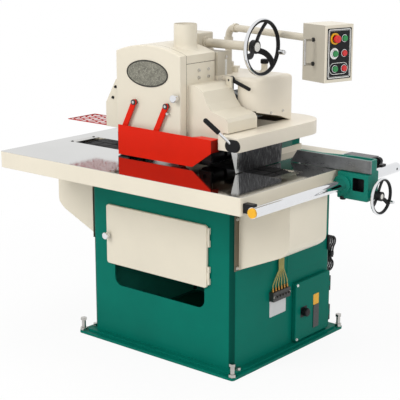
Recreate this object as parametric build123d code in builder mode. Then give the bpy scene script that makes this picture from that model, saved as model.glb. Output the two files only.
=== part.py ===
import os
from math import asin, cos, pi, radians, sin

from build123d import *

os.makedirs("parts", exist_ok=True)

# Straight-line rip saw, millimetres. +X is the infeed end, -Y the near side, +Z up.
# The origin is the middle of the floor plate on the floor.

# Floor plate and cabinet
base_length = 943.0
base_width = 863.0
base_thick = 12.0
cabinet_length = 846.0
cabinet_width = 750.0
cabinet_wall = 5.0
cabinet_bend = 28.0
foot_width = 30.0
foot_thick = 8.0
jack_radius = 10.0
jack_height = 74.0

# Table
table_height = 900.0
table_length = 1398.0
table_width = 1011.0
table_overhang = 306.0
table_plate = 30.0
table_skirt = 75.0
table_wall = 16.0

# Feed chain
saw_line = -235.0
chain_width = 150.0
chain_pitch = 62.0
chain_block = 24.0
chain_teeth = 12
chain_run = 17
slot_half = 585.0
slot_gap = 3.0
shaft_radius = 20.0
guard_reach = 265.0
guard_drop = 355.0
guard_sheet = 3.0

# Doors
door_gap = 2.0
door_depth = 20.0
door_sheet = 3.0
hinge_pin = 4.0
hinge_barrel = 8.0

# Overarm
beam_rise = 93.0
beam_depth = 60.0
beam_front = 450.0
beam_back = 340.0
beam_wall = 12.0
column_back = -260.0
column_height = 362.0
column_near = -110.0
column_far = 150.0
column_return = 235.0
column_round = 90.0
post_left = 20.0
post_right = 145.0
post_near = -140.0
post_height = 466.0
leg_width = 150.0

# Head
head_depth = 190.0
head_front_gap = 100.0
housing_left = -245.0
housing_right = 133.0
housing_wall = 12.0
back_plate = 30.0
cover_depth = 42.6
cover_gap = 0.4
arch_rise = 36.0
port_radius = 51.0
blade_diameter = 305.0
blade_thick = 3.2
kerf_dip = 2.5
arbor_radius = 20.0
quill_radius = 45.0
roller_radius = 40.0
roller_lift = 5.0
lift_travel = 85.0

# Side guard
link_length = 144.0
link_lean = 27.0
link_width = 26.0
link_thick = 6.0
guard_plate = 3.0

# Fingers
finger_thick = 7.0
finger_pitch = 8.6
finger_count = 37

# Lift drive
wheel_height = 497.0
wheel_y = -80.0
wheel_plane = 343.0
wheel_radius = 126.0
wheel_tube = 9.0
wheel_dish = 30.0
screw_x = -20.0
screw_radius = 12.0

# Controls
arm_x = -42.0
arm_y = 172.0
arm_turn = 15.5
arm_rise = 543.0
arm_reach = 634.0
pipe_radius = 16.0
box_depth = 145.0
box_width = 155.0
box_height = 237.0
box_sheet = 3.0
stem_radius = 8.0

# Fence
rail_radius = 23.0
rail_out = 46.0
rail_drop = 56.0
rail_near = -665.0
rail_far = 405.0
fence_line = -22.0
fence_height = 58.0
fence_lift = 3.0
fence_end = 872.0
fence_tip = 462.0
fence_wheel_radius = 80.0

# Mains lead
lead_radius = 4.0
hank_loops = 4
hank_pitch = 10.2
hank_waist = 350.0
fold_radius = 28.0
waist_half = 6.0
waist_run = 36.0
waist_step = 40.0

# Clearances
running = 0.05
slide = 0.3

# Derived positions
cabinet_x = cabinet_length / 2
cabinet_y = cabinet_width / 2
table_x = table_length / 2
table_near = -cabinet_y - table_overhang
table_far = table_near + table_width
skirt_bottom = table_height - table_skirt
deck_under = table_height - table_plate
cabinet_top = skirt_bottom
chain_near = saw_line - chain_width / 2
chain_far = saw_line + chain_width / 2
pin_radius = chain_pitch / (2 * sin(pi / chain_teeth))
sprocket_x = chain_run * chain_pitch / 2
pin_top = table_height - chain_block / 2
sprocket_z = pin_top - pin_radius
drum_radius = pin_radius * cos(pi / chain_teeth) - chain_block / 2 - 1.5
guard_near = saw_line - 100.0
guard_far = saw_line + 172.0
frame_near = chain_near - 8.0
frame_far = chain_far + 8.0
frame_plate = 12.0
beam_bottom = table_height + beam_rise
beam_top = beam_bottom + beam_depth
beam_near = saw_line - 141.0
column_top = table_height + column_height
post_top = table_height + post_height
post_bottom = table_height + 100.0
head_near = saw_line - head_front_gap
head_back = head_near + head_depth
housing_bottom = table_height + 138.0
toe_bottom = table_height + 109.0
lip = table_height + 431.0
arch_foot = table_height + 468.0
arch_x = (housing_left + housing_right) / 2
arch_top = arch_foot + arch_rise
cover_back = head_near - cover_gap
cover_face = cover_back - cover_depth
cover_bottom = table_height + 100.0
arbor_x = arch_x
arbor_z = table_height + blade_diameter / 2 - kerf_dip
wheel_z = table_height + wheel_height
arm_z = table_height + arm_rise
box_bottom = table_height + 377.0
rail_x = table_x + rail_out
rail_z = table_height - rail_drop


# Helpers that add to or cut from the part being built. Spans are (low, high) pairs.
def block(x, y, z, mode=Mode.ADD):
    with Locations(((x[0] + x[1]) / 2, (y[0] + y[1]) / 2, (z[0] + z[1]) / 2)):
        Box(x[1] - x[0], y[1] - y[0], z[1] - z[0], mode=mode)


def rod_x(x, y, z, radius, mode=Mode.ADD):
    with Locations(((x[0] + x[1]) / 2, y, z)):
        Cylinder(radius, x[1] - x[0], rotation=(0, 90, 0), mode=mode)


def rod_y(x, y, z, radius, mode=Mode.ADD):
    with Locations((x, (y[0] + y[1]) / 2, z)):
        Cylinder(radius, y[1] - y[0], rotation=(90, 0, 0), mode=mode)


def rod_z(x, y, z, radius, mode=Mode.ADD):
    with Locations((x, y, (z[0] + z[1]) / 2)):
        Cylinder(radius, z[1] - z[0], mode=mode)


def rod(start, end, radius, mode=Mode.ADD):
    run = Vector(*end) - Vector(*start)
    with Locations(Plane(origin=start, z_dir=run)):
        Cylinder(radius, run.length, align=(Align.CENTER, Align.CENTER, Align.MIN), mode=mode)


def pad_x(y, z, x, corner, mode=Mode.ADD):
    with BuildSketch(Plane.YZ.offset(x[0])) as outline:
        with Locations(((y[0] + y[1]) / 2, (z[0] + z[1]) / 2)):
            RectangleRounded(y[1] - y[0], z[1] - z[0], corner)
    extrude(outline.sketch, amount=x[1] - x[0], mode=mode)


def pad_y(x, z, y, corner, mode=Mode.ADD):
    with BuildSketch(Plane.XZ.offset(-y[1])) as outline:
        with Locations(((x[0] + x[1]) / 2, (z[0] + z[1]) / 2)):
            RectangleRounded(x[1] - x[0], z[1] - z[0], corner)
    extrude(outline.sketch, amount=y[1] - y[0], mode=mode)


def pad_z(x, y, z, corner, mode=Mode.ADD):
    with BuildSketch(Plane.XY.offset(z[0])) as outline:
        with Locations(((x[0] + x[1]) / 2, (y[0] + y[1]) / 2)):
            RectangleRounded(x[1] - x[0], y[1] - y[0], corner)
    extrude(outline.sketch, amount=z[1] - z[0], mode=mode)


def prism_x(points, x, mode=Mode.ADD):
    with BuildSketch(Plane.YZ.offset(x[0])) as outline:
        Polygon(*points, align=None)
    extrude(outline.sketch, amount=x[1] - x[0], mode=mode)


def prism_y(points, y, mode=Mode.ADD):
    with BuildSketch(Plane.XZ.offset(-y[1])) as outline:
        Polygon(*points, align=None)
    extrude(outline.sketch, amount=y[1] - y[0], mode=mode)


def arch_y(left, right, bottom, foot, rise, y, mode=Mode.ADD):
    with BuildSketch(Plane.XZ.offset(-y[1])) as outline:
        with BuildLine():
            Polyline((left, foot), (left, bottom), (right, bottom), (right, foot))
            ThreePointArc((right, foot), ((left + right) / 2, foot + rise), (left, foot))
        make_face()
    extrude(outline.sketch, amount=y[1] - y[0], mode=mode)


def hex_z(x, y, z, across, mode=Mode.ADD):
    with BuildSketch(Plane.XY.offset(z[0])) as outline:
        with Locations((x, y)):
            RegularPolygon(across / 2, 6, major_radius=False)
    extrude(outline.sketch, amount=z[1] - z[0], mode=mode)


def hex_y(x, y, z, across, mode=Mode.ADD):
    with BuildSketch(Plane.XZ.offset(-y[1])) as outline:
        with Locations((x, z)):
            RegularPolygon(across / 2, 6, major_radius=False)
    extrude(outline.sketch, amount=y[1] - y[0], mode=mode)


# Floor plate
jack_x = base_length / 2 - 16.0
jack_y = base_width / 2 - 18.0
foot_x = cabinet_x + foot_width / 2
foot_y = cabinet_y + foot_width / 2
foot_spots = [(-foot_x, 25.0 - cabinet_y), (foot_x, 25.0 - cabinet_y)]
foot_spots += [(25.0 - cabinet_x, foot_y), (cabinet_x - 25.0, foot_y)]
jack_spots = [(sx * jack_x, sy * jack_y) for sx in (-1, 1) for sy in (-1, 1)]
with BuildPart() as base_plate:
    pad_z((-base_length / 2, base_length / 2), (-base_width / 2, base_width / 2), (0, base_thick), 14)
    for spot in jack_spots:
        rod_z(spot[0], spot[1], (0, base_thick), jack_radius + slide, Mode.SUBTRACT)
base_plate.part.label = "base_plate"
export_step(base_plate.part, "parts/base_plate.step")

# Levelling screws with nuts, and the bolts through the cabinet foot
foot_top = base_thick + foot_thick
with BuildPart() as levelling_bolts:
    for spot in jack_spots:
        rod_z(spot[0], spot[1], (0, jack_height), jack_radius)
        hex_z(spot[0], spot[1], (base_thick, base_thick + 14), 30)
        hex_z(spot[0], spot[1], (jack_height - 12, jack_height), 26)
    for spot in foot_spots:
        rod_z(spot[0], spot[1], (foot_top, foot_top + 3), 13)
        hex_z(spot[0], spot[1], (foot_top + 3, foot_top + 13), 22)
levelling_bolts.part.label = "levelling_bolts"
export_step(levelling_bolts.part, "parts/levelling_bolts.step")

# Cabinet
opening_x = (-278.0, 266.0)
opening_z = (269.0, 640.0)
lube_y = (68.0, 345.0)
lube_z = (26.0, 311.0)
panel_y = (23.0, 340.0)
panel_z = (366.0, 640.0)
chain_notch_y = (frame_near - frame_plate - 2, guard_far - guard_sheet - 2)
chain_notch_z = (table_height - 415.0, cabinet_top)
gland_x = cabinet_x - 93.0
gland_z = hank_waist + waist_run / 2 + waist_step + fold_radius
gland_radius = 9.0
line_entry_y = (-59.0, -15.0)
line_entry_z = (530.0, 550.0)
rim_thick = 5.0
rim_width = 70.0
with BuildPart() as cabinet:
    pad_z((-cabinet_x, cabinet_x), (-cabinet_y, cabinet_y), (base_thick, cabinet_top), cabinet_bend)
    pad_z(
        (-cabinet_x - foot_width, cabinet_x + foot_width),
        (-cabinet_y - foot_width, cabinet_y + foot_width),
        (base_thick, foot_top),
        cabinet_bend,
    )
    inner_x = cabinet_x - cabinet_wall
    inner_y = cabinet_y - cabinet_wall
    inner_bend = cabinet_bend - cabinet_wall
    pad_z((-inner_x, inner_x), (-inner_y, inner_y), (base_thick, cabinet_top), inner_bend, Mode.SUBTRACT)
    rim_z = (cabinet_top - rim_thick, cabinet_top)
    pad_z((-cabinet_x, cabinet_x), (-cabinet_y, cabinet_y), rim_z, cabinet_bend)
    pad_z(
        (-cabinet_x + rim_width, cabinet_x - rim_width),
        (-cabinet_y + rim_width, cabinet_y - rim_width),
        (cabinet_top - rim_thick, cabinet_top),
        20,
        Mode.SUBTRACT,
    )
    pad_x(panel_y, panel_z, (cabinet_x, cabinet_x + 2), 8)
    pad_y(opening_x, opening_z, (-cabinet_y, -inner_y), 40, Mode.SUBTRACT)
    pad_x(
        (lube_y[0] + 18, lube_y[1] - 18),
        (lube_z[0] + 18, lube_z[1] - 18),
        (inner_x, cabinet_x),
        10,
        Mode.SUBTRACT,
    )
    for side in (-1, 1):
        span = sorted((side * (cabinet_x - rim_width), side * cabinet_x))
        block(span, chain_notch_y, chain_notch_z, Mode.SUBTRACT)
    block((inner_x, cabinet_x), line_entry_y, line_entry_z, Mode.SUBTRACT)
    rod_y(gland_x, (inner_y, cabinet_y), gland_z, gland_radius, Mode.SUBTRACT)
cabinet.part.label = "cabinet"
export_step(cabinet.part, "parts/cabinet.step")

# Near-side door: a pan with rounded corners on two knuckle hinges
door_x = (-316.0, 288.0)
door_z = (372.0, 655.0)
door_thick = 12.0
door_pin = 3.0
door_barrel = 5.5
door_back = -cabinet_y - door_gap
door_face = door_back - door_thick
door_pin_x = door_x[1] + 7.0
door_pin_y = door_back - door_barrel
door_hinge_z = ((389.0, 470.0), (560.0, 645.0))
knob_x = door_x[0] + 16.0
knob_z = 509.0
knob_shaft = 5.0
with BuildPart() as cabinet_door:
    pad_y(door_x, door_z, (door_face, door_back), 14)
    fillet(cabinet_door.faces().sort_by(Axis.Y)[0].edges(), 4)
    pad_y(
        (door_x[0] + door_sheet, door_x[1] - door_sheet),
        (door_z[0] + door_sheet, door_z[1] - door_sheet),
        (door_face + door_sheet, door_back),
        11,
        Mode.SUBTRACT,
    )
    rod_y(knob_x, (door_face, door_face + door_sheet), knob_z, knob_shaft + running, Mode.SUBTRACT)
    for span in door_hinge_z:
        low = span[0] + (span[1] - span[0]) / 3 + slide
        high = span[1] - (span[1] - span[0]) / 3 - slide
        block((door_x[1] - 2, door_pin_x), (door_pin_y - 3, door_pin_y + 3), (low, high))
        rod_z(door_pin_x, door_pin_y, (low, high), door_barrel)
        rod_z(door_pin_x, door_pin_y, (low, high), door_pin + running, Mode.SUBTRACT)
cabinet_door.part.label = "cabinet_door"
export_step(cabinet_door.part, "parts/cabinet_door.step")

# Turning knob of the near-side door with its cam
with BuildPart() as cabinet_knob:
    rod_y(knob_x, (door_face - slide - 8, door_face - slide), knob_z, 12)
    rod_y(knob_x, (door_face - 30, door_face - slide - 8), knob_z, 17)
    fillet(cabinet_knob.faces().sort_by(Axis.Y)[0].edges(), 6)
    rod_y(knob_x, (door_face - slide, door_face + 10), knob_z, knob_shaft)
    block(
        (knob_x - 9, knob_x + 12),
        (door_face + door_sheet + slide + 2, door_face + door_sheet + slide + 6),
        (knob_z - 7, knob_z + 7),
    )
cabinet_knob.part.label = "cabinet_knob"
export_step(cabinet_knob.part, "parts/cabinet_knob.step")

# Fixed hinge halves of the cabinet's two doors
lube_face = cabinet_x + door_gap + door_depth
lube_pin_x = cabinet_x + 12.0
lube_pin_y = lube_y[1] + 9.0
lube_hinge_z = ((60.0, 135.0), (208.0, 279.0))
with BuildPart() as door_hinges:
    for span in door_hinge_z:
        third = (span[1] - span[0]) / 3
        rod_z(door_pin_x, door_pin_y, span, door_pin)
        for piece in ((span[0], span[0] + third), (span[1] - third, span[1])):
            rod_z(door_pin_x, door_pin_y, piece, door_barrel)
            block((door_pin_x, door_pin_x + door_barrel), (door_pin_y - 3, -cabinet_y), piece)
    for span in lube_hinge_z:
        third = (span[1] - span[0]) / 3
        rod_z(lube_pin_x, lube_pin_y, span, hinge_pin)
        for piece in ((span[0], span[0] + third), (span[1] - third, span[1])):
            rod_z(lube_pin_x, lube_pin_y, piece, hinge_barrel)
            block((cabinet_x, lube_pin_x + 3), (lube_pin_y, lube_pin_y - 7 + hinge_barrel + 2), piece)
door_hinges.part.label = "door_hinges"
export_step(door_hinges.part, "parts/door_hinges.step")

# Lubrication door with a window for the sight glass
glass_y = (209.0, 254.0)
glass_z = (59.0, 171.0)
lube_knob_y = 133.0
lube_knob_z = 160.0
with BuildPart() as lube_door:
    pad_x(lube_y, lube_z, (cabinet_x + door_gap, lube_face), 10)
    fillet(lube_door.faces().sort_by(Axis.X)[-1].edges(), 4)
    pad_x(
        (lube_y[0] + door_sheet, lube_y[1] - door_sheet),
        (lube_z[0] + door_sheet, lube_z[1] - door_sheet),
        (cabinet_x + door_gap, lube_face - door_sheet),
        7,
        Mode.SUBTRACT,
    )
    pad_x(glass_y, glass_z, (lube_face - door_sheet, lube_face), 6, Mode.SUBTRACT)
    rod_x((lube_face - door_sheet, lube_face), lube_knob_y, lube_knob_z, knob_shaft + running, Mode.SUBTRACT)
    for span in lube_hinge_z:
        low = span[0] + (span[1] - span[0]) / 3 + slide
        high = span[1] - (span[1] - span[0]) / 3 - slide
        block((lube_pin_x - 3, lube_pin_x + 3), (lube_y[1] - 2, lube_pin_y), (low, high))
        rod_z(lube_pin_x, lube_pin_y, (low, high), hinge_barrel)
        rod_z(lube_pin_x, lube_pin_y, (low, high), hinge_pin + running, Mode.SUBTRACT)
lube_door.part.label = "lube_door"
export_step(lube_door.part, "parts/lube_door.step")

# Sight glass set in the lubrication door
with BuildPart() as sight_glass:
    pad_x(glass_y, glass_z, (lube_face - door_sheet, lube_face + 3), 6)
    pad_x(
        (glass_y[0] - 4, glass_y[1] + 4),
        (glass_z[0] - 4, glass_z[1] + 4),
        (lube_face - door_sheet - 4, lube_face - door_sheet),
        8,
    )
sight_glass.part.label = "sight_glass"
export_step(sight_glass.part, "parts/sight_glass.step")

# Turning knob of the lubrication door
with BuildPart() as lube_knob:
    rod_x((lube_face + slide, lube_face + slide + 5), lube_knob_y, lube_knob_z, 15)
    rod_x((lube_face + slide + 5, lube_face + 26), lube_knob_y, lube_knob_z, 20)
    fillet(lube_knob.faces().sort_by(Axis.X)[-1].edges(), 6)
    rod_x((lube_face - 12, lube_face + slide), lube_knob_y, lube_knob_z, knob_shaft)
    block(
        (lube_face - door_sheet - slide - 6, lube_face - door_sheet - slide - 2),
        (lube_knob_y - 22, lube_knob_y + 8),
        (lube_knob_z - 8, lube_knob_z + 8),
    )
lube_knob.part.label = "lube_knob"
export_step(lube_knob.part, "parts/lube_knob.step")

# Table with a skirt, the chain slot and a seat for the plates at its ends
rest_width = 30.0
plate_length = 30.0
plate_thick = 7.0
plate_side = 8.0
slot_y = (chain_near - slot_gap, chain_far + slot_gap)
plate_y = (slot_y[0] - plate_side, slot_y[1] + plate_side)
slot_end = slot_half + plate_length
with BuildPart() as table:
    pad_z((-table_x, table_x), (table_near, table_far), (skirt_bottom, table_height), 9)
    pad_z(
        (-table_x + table_wall, table_x - table_wall),
        (table_near + table_wall, table_far - table_wall),
        (skirt_bottom, deck_under),
        6,
        Mode.SUBTRACT,
    )
    rest = (skirt_bottom, deck_under)
    block((-cabinet_x, cabinet_x), (-cabinet_y, -cabinet_y + rest_width), rest)
    for side in (-1, 1):
        bar = sorted((side * (cabinet_x - rest_width), side * cabinet_x))
        block(bar, (-cabinet_y, chain_notch_y[0]), rest)
        block(bar, (chain_notch_y[1], table_far - table_wall), rest)
    block((-slot_end, slot_end), slot_y, (deck_under, table_height), Mode.SUBTRACT)
    for side in (-1, 1):
        span = sorted((side * slot_half, side * (slot_end + plate_side)))
        block(span, plate_y, (table_height - plate_thick, table_height), Mode.SUBTRACT)
table.part.label = "table"
export_step(table.part, "parts/table.step")

# Steel plates at the ends of the chain slot
with BuildPart() as slot_end_plates:
    for side in (-1, 1):
        span = sorted((side * slot_half, side * (slot_end + plate_side)))
        block(span, plate_y, (table_height - plate_thick, table_height))
slot_end_plates.part.label = "slot_end_plates"
export_step(slot_end_plates.part, "parts/slot_end_plates.step")

# Chain frame: two hanging side plates, the slide bed and the shaft bearings
bed_top = table_height - chain_block
frame_end = sprocket_x + 48.0
bed_half = sprocket_x - 97.0
frame_span_near = (frame_near - frame_plate, frame_near)
frame_span_far = (frame_far, frame_far + frame_plate)
with BuildPart() as chain_frame:
    for span in (frame_span_near, frame_span_far):
        block((-frame_end, frame_end), span, (deck_under - 40, deck_under))
        for side in (-1, 1):
            ends = sorted((side * (sprocket_x - 60), side * frame_end))
            block(ends, span, (sprocket_z - 40, deck_under))
            rod_y(side * sprocket_x, span, sprocket_z, 46)
    block((-bed_half, bed_half), (frame_near, frame_far), (deck_under - 34, deck_under - 2))
    block((-bed_half, bed_half), (chain_near + 1, chain_far - 1), (deck_under - 2, bed_top))
    for side in (-1, 1):
        whole = (frame_span_near[0], frame_span_far[1])
        rod_y(side * sprocket_x, whole, sprocket_z, shaft_radius + running, Mode.SUBTRACT)
chain_frame.part.label = "chain_frame"
export_step(chain_frame.part, "parts/chain_frame.step")

# Feed chain: pads hinged on pins, one closed loop with a kerf groove
turn = 2 * pi / chain_teeth
half_turns = chain_teeth // 2
pins = [(-sprocket_x + i * chain_pitch, pin_top) for i in range(chain_run)]
pins += [
    (sprocket_x + pin_radius * sin(i * turn), sprocket_z + pin_radius * cos(i * turn))
    for i in range(half_turns)
]
pins += [(sprocket_x - i * chain_pitch, sprocket_z - pin_radius) for i in range(chain_run)]
pins += [
    (-sprocket_x - pin_radius * sin(i * turn), sprocket_z - pin_radius * cos(i * turn))
    for i in range(half_turns)
]
kerf_width = 8.0
kerf_depth = 7.0
with BuildPart() as feed_chain:
    with BuildSketch(Plane.XZ.offset(-chain_far)) as pads:
        for i, pin in enumerate(pins):
            ahead = pins[(i + 1) % len(pins)]
            ux = (ahead[0] - pin[0]) / chain_pitch
            uz = (ahead[1] - pin[1]) / chain_pitch
            corners = []
            for along, out in ((2.5, 12), (59.5, 12), (59.5, -4), (52, -12), (10, -12), (2.5, -4)):
                s = along * chain_pitch / 62.0
                n = out * chain_block / 24.0
                corners.append((pin[0] + s * ux - n * uz, pin[1] + s * uz + n * ux))
            Polygon(*corners, align=None)
        with Locations(*pins):
            Circle(chain_block / 4)
    extrude(amount=chain_width)
    with BuildSketch(Plane.XZ.offset(-saw_line - kerf_width / 2)) as groove:
        with Locations((0, sprocket_z)):
            SlotCenterToCenter(2 * sprocket_x, 2 * (pin_radius + chain_block))
            kerf_floor = pin_radius + chain_block / 2 - kerf_depth
            SlotCenterToCenter(2 * sprocket_x, 2 * kerf_floor, mode=Mode.SUBTRACT)
    extrude(amount=kerf_width, mode=Mode.SUBTRACT)
feed_chain.part.label = "feed_chain"
export_step(feed_chain.part, "parts/feed_chain.step")


# Sprocket drums on their shafts
def drum(x, shaft_end):
    rod_y(x, (frame_span_near[0] - 1, shaft_end), sprocket_z, shaft_radius)
    rod_y(x, (chain_near + 6, chain_far - 6), sprocket_z, 38)
    for disc in ((chain_near + 12, chain_near + 30), (chain_far - 30, chain_far - 12)):
        rod_y(x, disc, sprocket_z, drum_radius)
        for i in range(chain_teeth):
            reach = drum_radius + 4
            swing = (i + 0.5) * turn
            rod_y(x + reach * sin(swing), disc, sprocket_z + reach * cos(swing), 10, Mode.SUBTRACT)


drive_end = frame_span_far[1] + 62.0
with BuildPart() as drive_sprocket:
    drum(-sprocket_x, drive_end)
drive_sprocket.part.label = "drive_sprocket"
export_step(drive_sprocket.part, "parts/drive_sprocket.step")

with BuildPart() as idler_sprocket:
    drum(sprocket_x, frame_span_far[1] + 6)
idler_sprocket.part.label = "idler_sprocket"
export_step(idler_sprocket.part, "parts/idler_sprocket.step")

# Gear motor carried by the drive shaft
gear_y = (frame_span_far[1] + 6, drive_end + 2)
gear_mid = (gear_y[0] + gear_y[1]) / 2
motor_z = sprocket_z - 24.0
with BuildPart() as feed_gearmotor:
    pad_y(
        (-sprocket_x - 56, -sprocket_x + 56),
        (motor_z - 46, sprocket_z + 46),
        gear_y,
        16,
    )
    rod_x((-sprocket_x + 50, -cabinet_x + 30), gear_mid, motor_z, 26)
    rod_x((-cabinet_x + 30, -cabinet_x + 42), gear_mid, motor_z, 72)
    rod_x((-cabinet_x + 42, -cabinet_x + 230), gear_mid, motor_z, 66)
    rod_x((-cabinet_x + 230, -cabinet_x + 262), gear_mid, motor_z, 70)
    block((-cabinet_x + 80, -cabinet_x + 150), (gear_mid + 50, gear_mid + 92), (motor_z - 32, motor_z + 32))
    rod_y(-sprocket_x, (gear_y[0], drive_end), sprocket_z, shaft_radius + running, Mode.SUBTRACT)
feed_gearmotor.part.label = "feed_gearmotor"
export_step(feed_gearmotor.part, "parts/feed_gearmotor.step")

# Chain guards: bent sheet boxes under both ends of the table
guard_end = cabinet_x + guard_reach
guard_low = skirt_bottom - guard_drop


def guard_shape(side):
    outer = [
        (side * cabinet_x, guard_low),
        (side * (guard_end - 42), guard_low + 97),
        (side * (guard_end - 17), guard_low + 115),
        (side * (guard_end - 3), guard_low + 132),
        (side * guard_end, guard_low + 150),
        (side * guard_end, skirt_bottom),
        (side * cabinet_x, skirt_bottom),
    ]
    t = guard_sheet
    inner = [
        (side * cabinet_x, guard_low + t),
        (side * (guard_end - 43), guard_low + 97 + t),
        (side * (guard_end - 18.5), guard_low + 115 + t),
        (side * (guard_end - 3 - t), guard_low + 133),
        (side * (guard_end - t), guard_low + 150.5),
        (side * (guard_end - t), skirt_bottom),
        (side * cabinet_x, skirt_bottom),
    ]
    prism_y(outer, (guard_near, guard_far))
    prism_y(inner, (guard_near + t, guard_far - t), Mode.SUBTRACT)
    flange = sorted((side * cabinet_x, side * (cabinet_x + t)))
    block(flange, (guard_near - 30, guard_near), (guard_low, guard_low + 245))


with BuildPart() as infeed_chain_guard:
    guard_shape(1)
infeed_chain_guard.part.label = "infeed_chain_guard"
export_step(infeed_chain_guard.part, "parts/infeed_chain_guard.step")

with BuildPart() as outfeed_chain_guard:
    guard_shape(-1)
outfeed_chain_guard.part.label = "outfeed_chain_guard"
export_step(outfeed_chain_guard.part, "parts/outfeed_chain_guard.step")

# Oil manifold with six fittings
manifold_y = (-110.0, 20.0)
manifold_z = (268.0, 312.0)
manifold_depth = 24.0
line_x = cabinet_x + manifold_depth / 2
line_radius = 2.6
line_count = 6
line_step = (manifold_y[1] - manifold_y[0]) / line_count
line_ys = [manifold_y[0] + (i + 0.5) * line_step for i in range(line_count)]
bundle_ys = [line_entry_y[0] + 5 + 6.8 * i for i in range(line_count)]
fitting_top = manifold_z[1] + 18.0
with BuildPart() as oil_manifold:
    pad_x(manifold_y, manifold_z, (cabinet_x, cabinet_x + manifold_depth), 4)
    for y in line_ys:
        hex_z(line_x, y, (manifold_z[1], manifold_z[1] + 9), 11)
        rod_z(line_x, y, (manifold_z[1] + 9, fitting_top), 4)
        rod_x((cabinet_x + manifold_depth, cabinet_x + manifold_depth + 6), y, manifold_z[0] + 20, 5)
oil_manifold.part.label = "oil_manifold"
export_step(oil_manifold.part, "parts/oil_manifold.step")

# Oil lines from the fittings, gathered and led through the cabinet wall
entry_z = (line_entry_z[0] + line_entry_z[1]) / 2
with BuildPart() as oil_lines:
    for y, gathered in zip(line_ys, bundle_ys):
        with BuildLine() as route:
            FilletPolyline(
                (line_x, y, fitting_top),
                (line_x, y, fitting_top + 14),
                (line_x, gathered, fitting_top + 76),
                (line_x, gathered, entry_z),
                (inner_x - 20, gathered, entry_z),
                radius=9,
            )
        with BuildSketch(Plane(origin=(line_x, y, fitting_top), z_dir=(0, 0, 1))):
            Circle(line_radius)
        sweep(path=route.wires()[0])
oil_lines.part.label = "oil_lines"
export_step(oil_lines.part, "parts/oil_lines.step")

# Green pedestal under the overarm
leg_left = (column_back - 40, column_back + 80)
leg_right = (beam_back - leg_width, beam_back - 2)
leg_near = 60.0
leg_far = 165.0
arm_far = table_far - 39.0
pedestal_far = 240.0
foot_rise = 28.0
foot_z = (table_height, table_height + foot_rise)
with BuildPart() as pedestal:
    depth = (leg_far, pedestal_far)
    rise = (foot_z[1], beam_bottom)
    pad_z((leg_left[0] + 10, leg_right[1] - 8), depth, (foot_z[1], foot_z[1] + 28), 8)
    pad_z((leg_left[0] + 10, leg_left[1] - 10), depth, rise, 8)
    pad_z((leg_right[0] + 10, leg_right[1] - 8), depth, rise, 8)
pedestal.part.label = "pedestal"
export_step(pedestal.part, "parts/pedestal.step")

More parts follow.
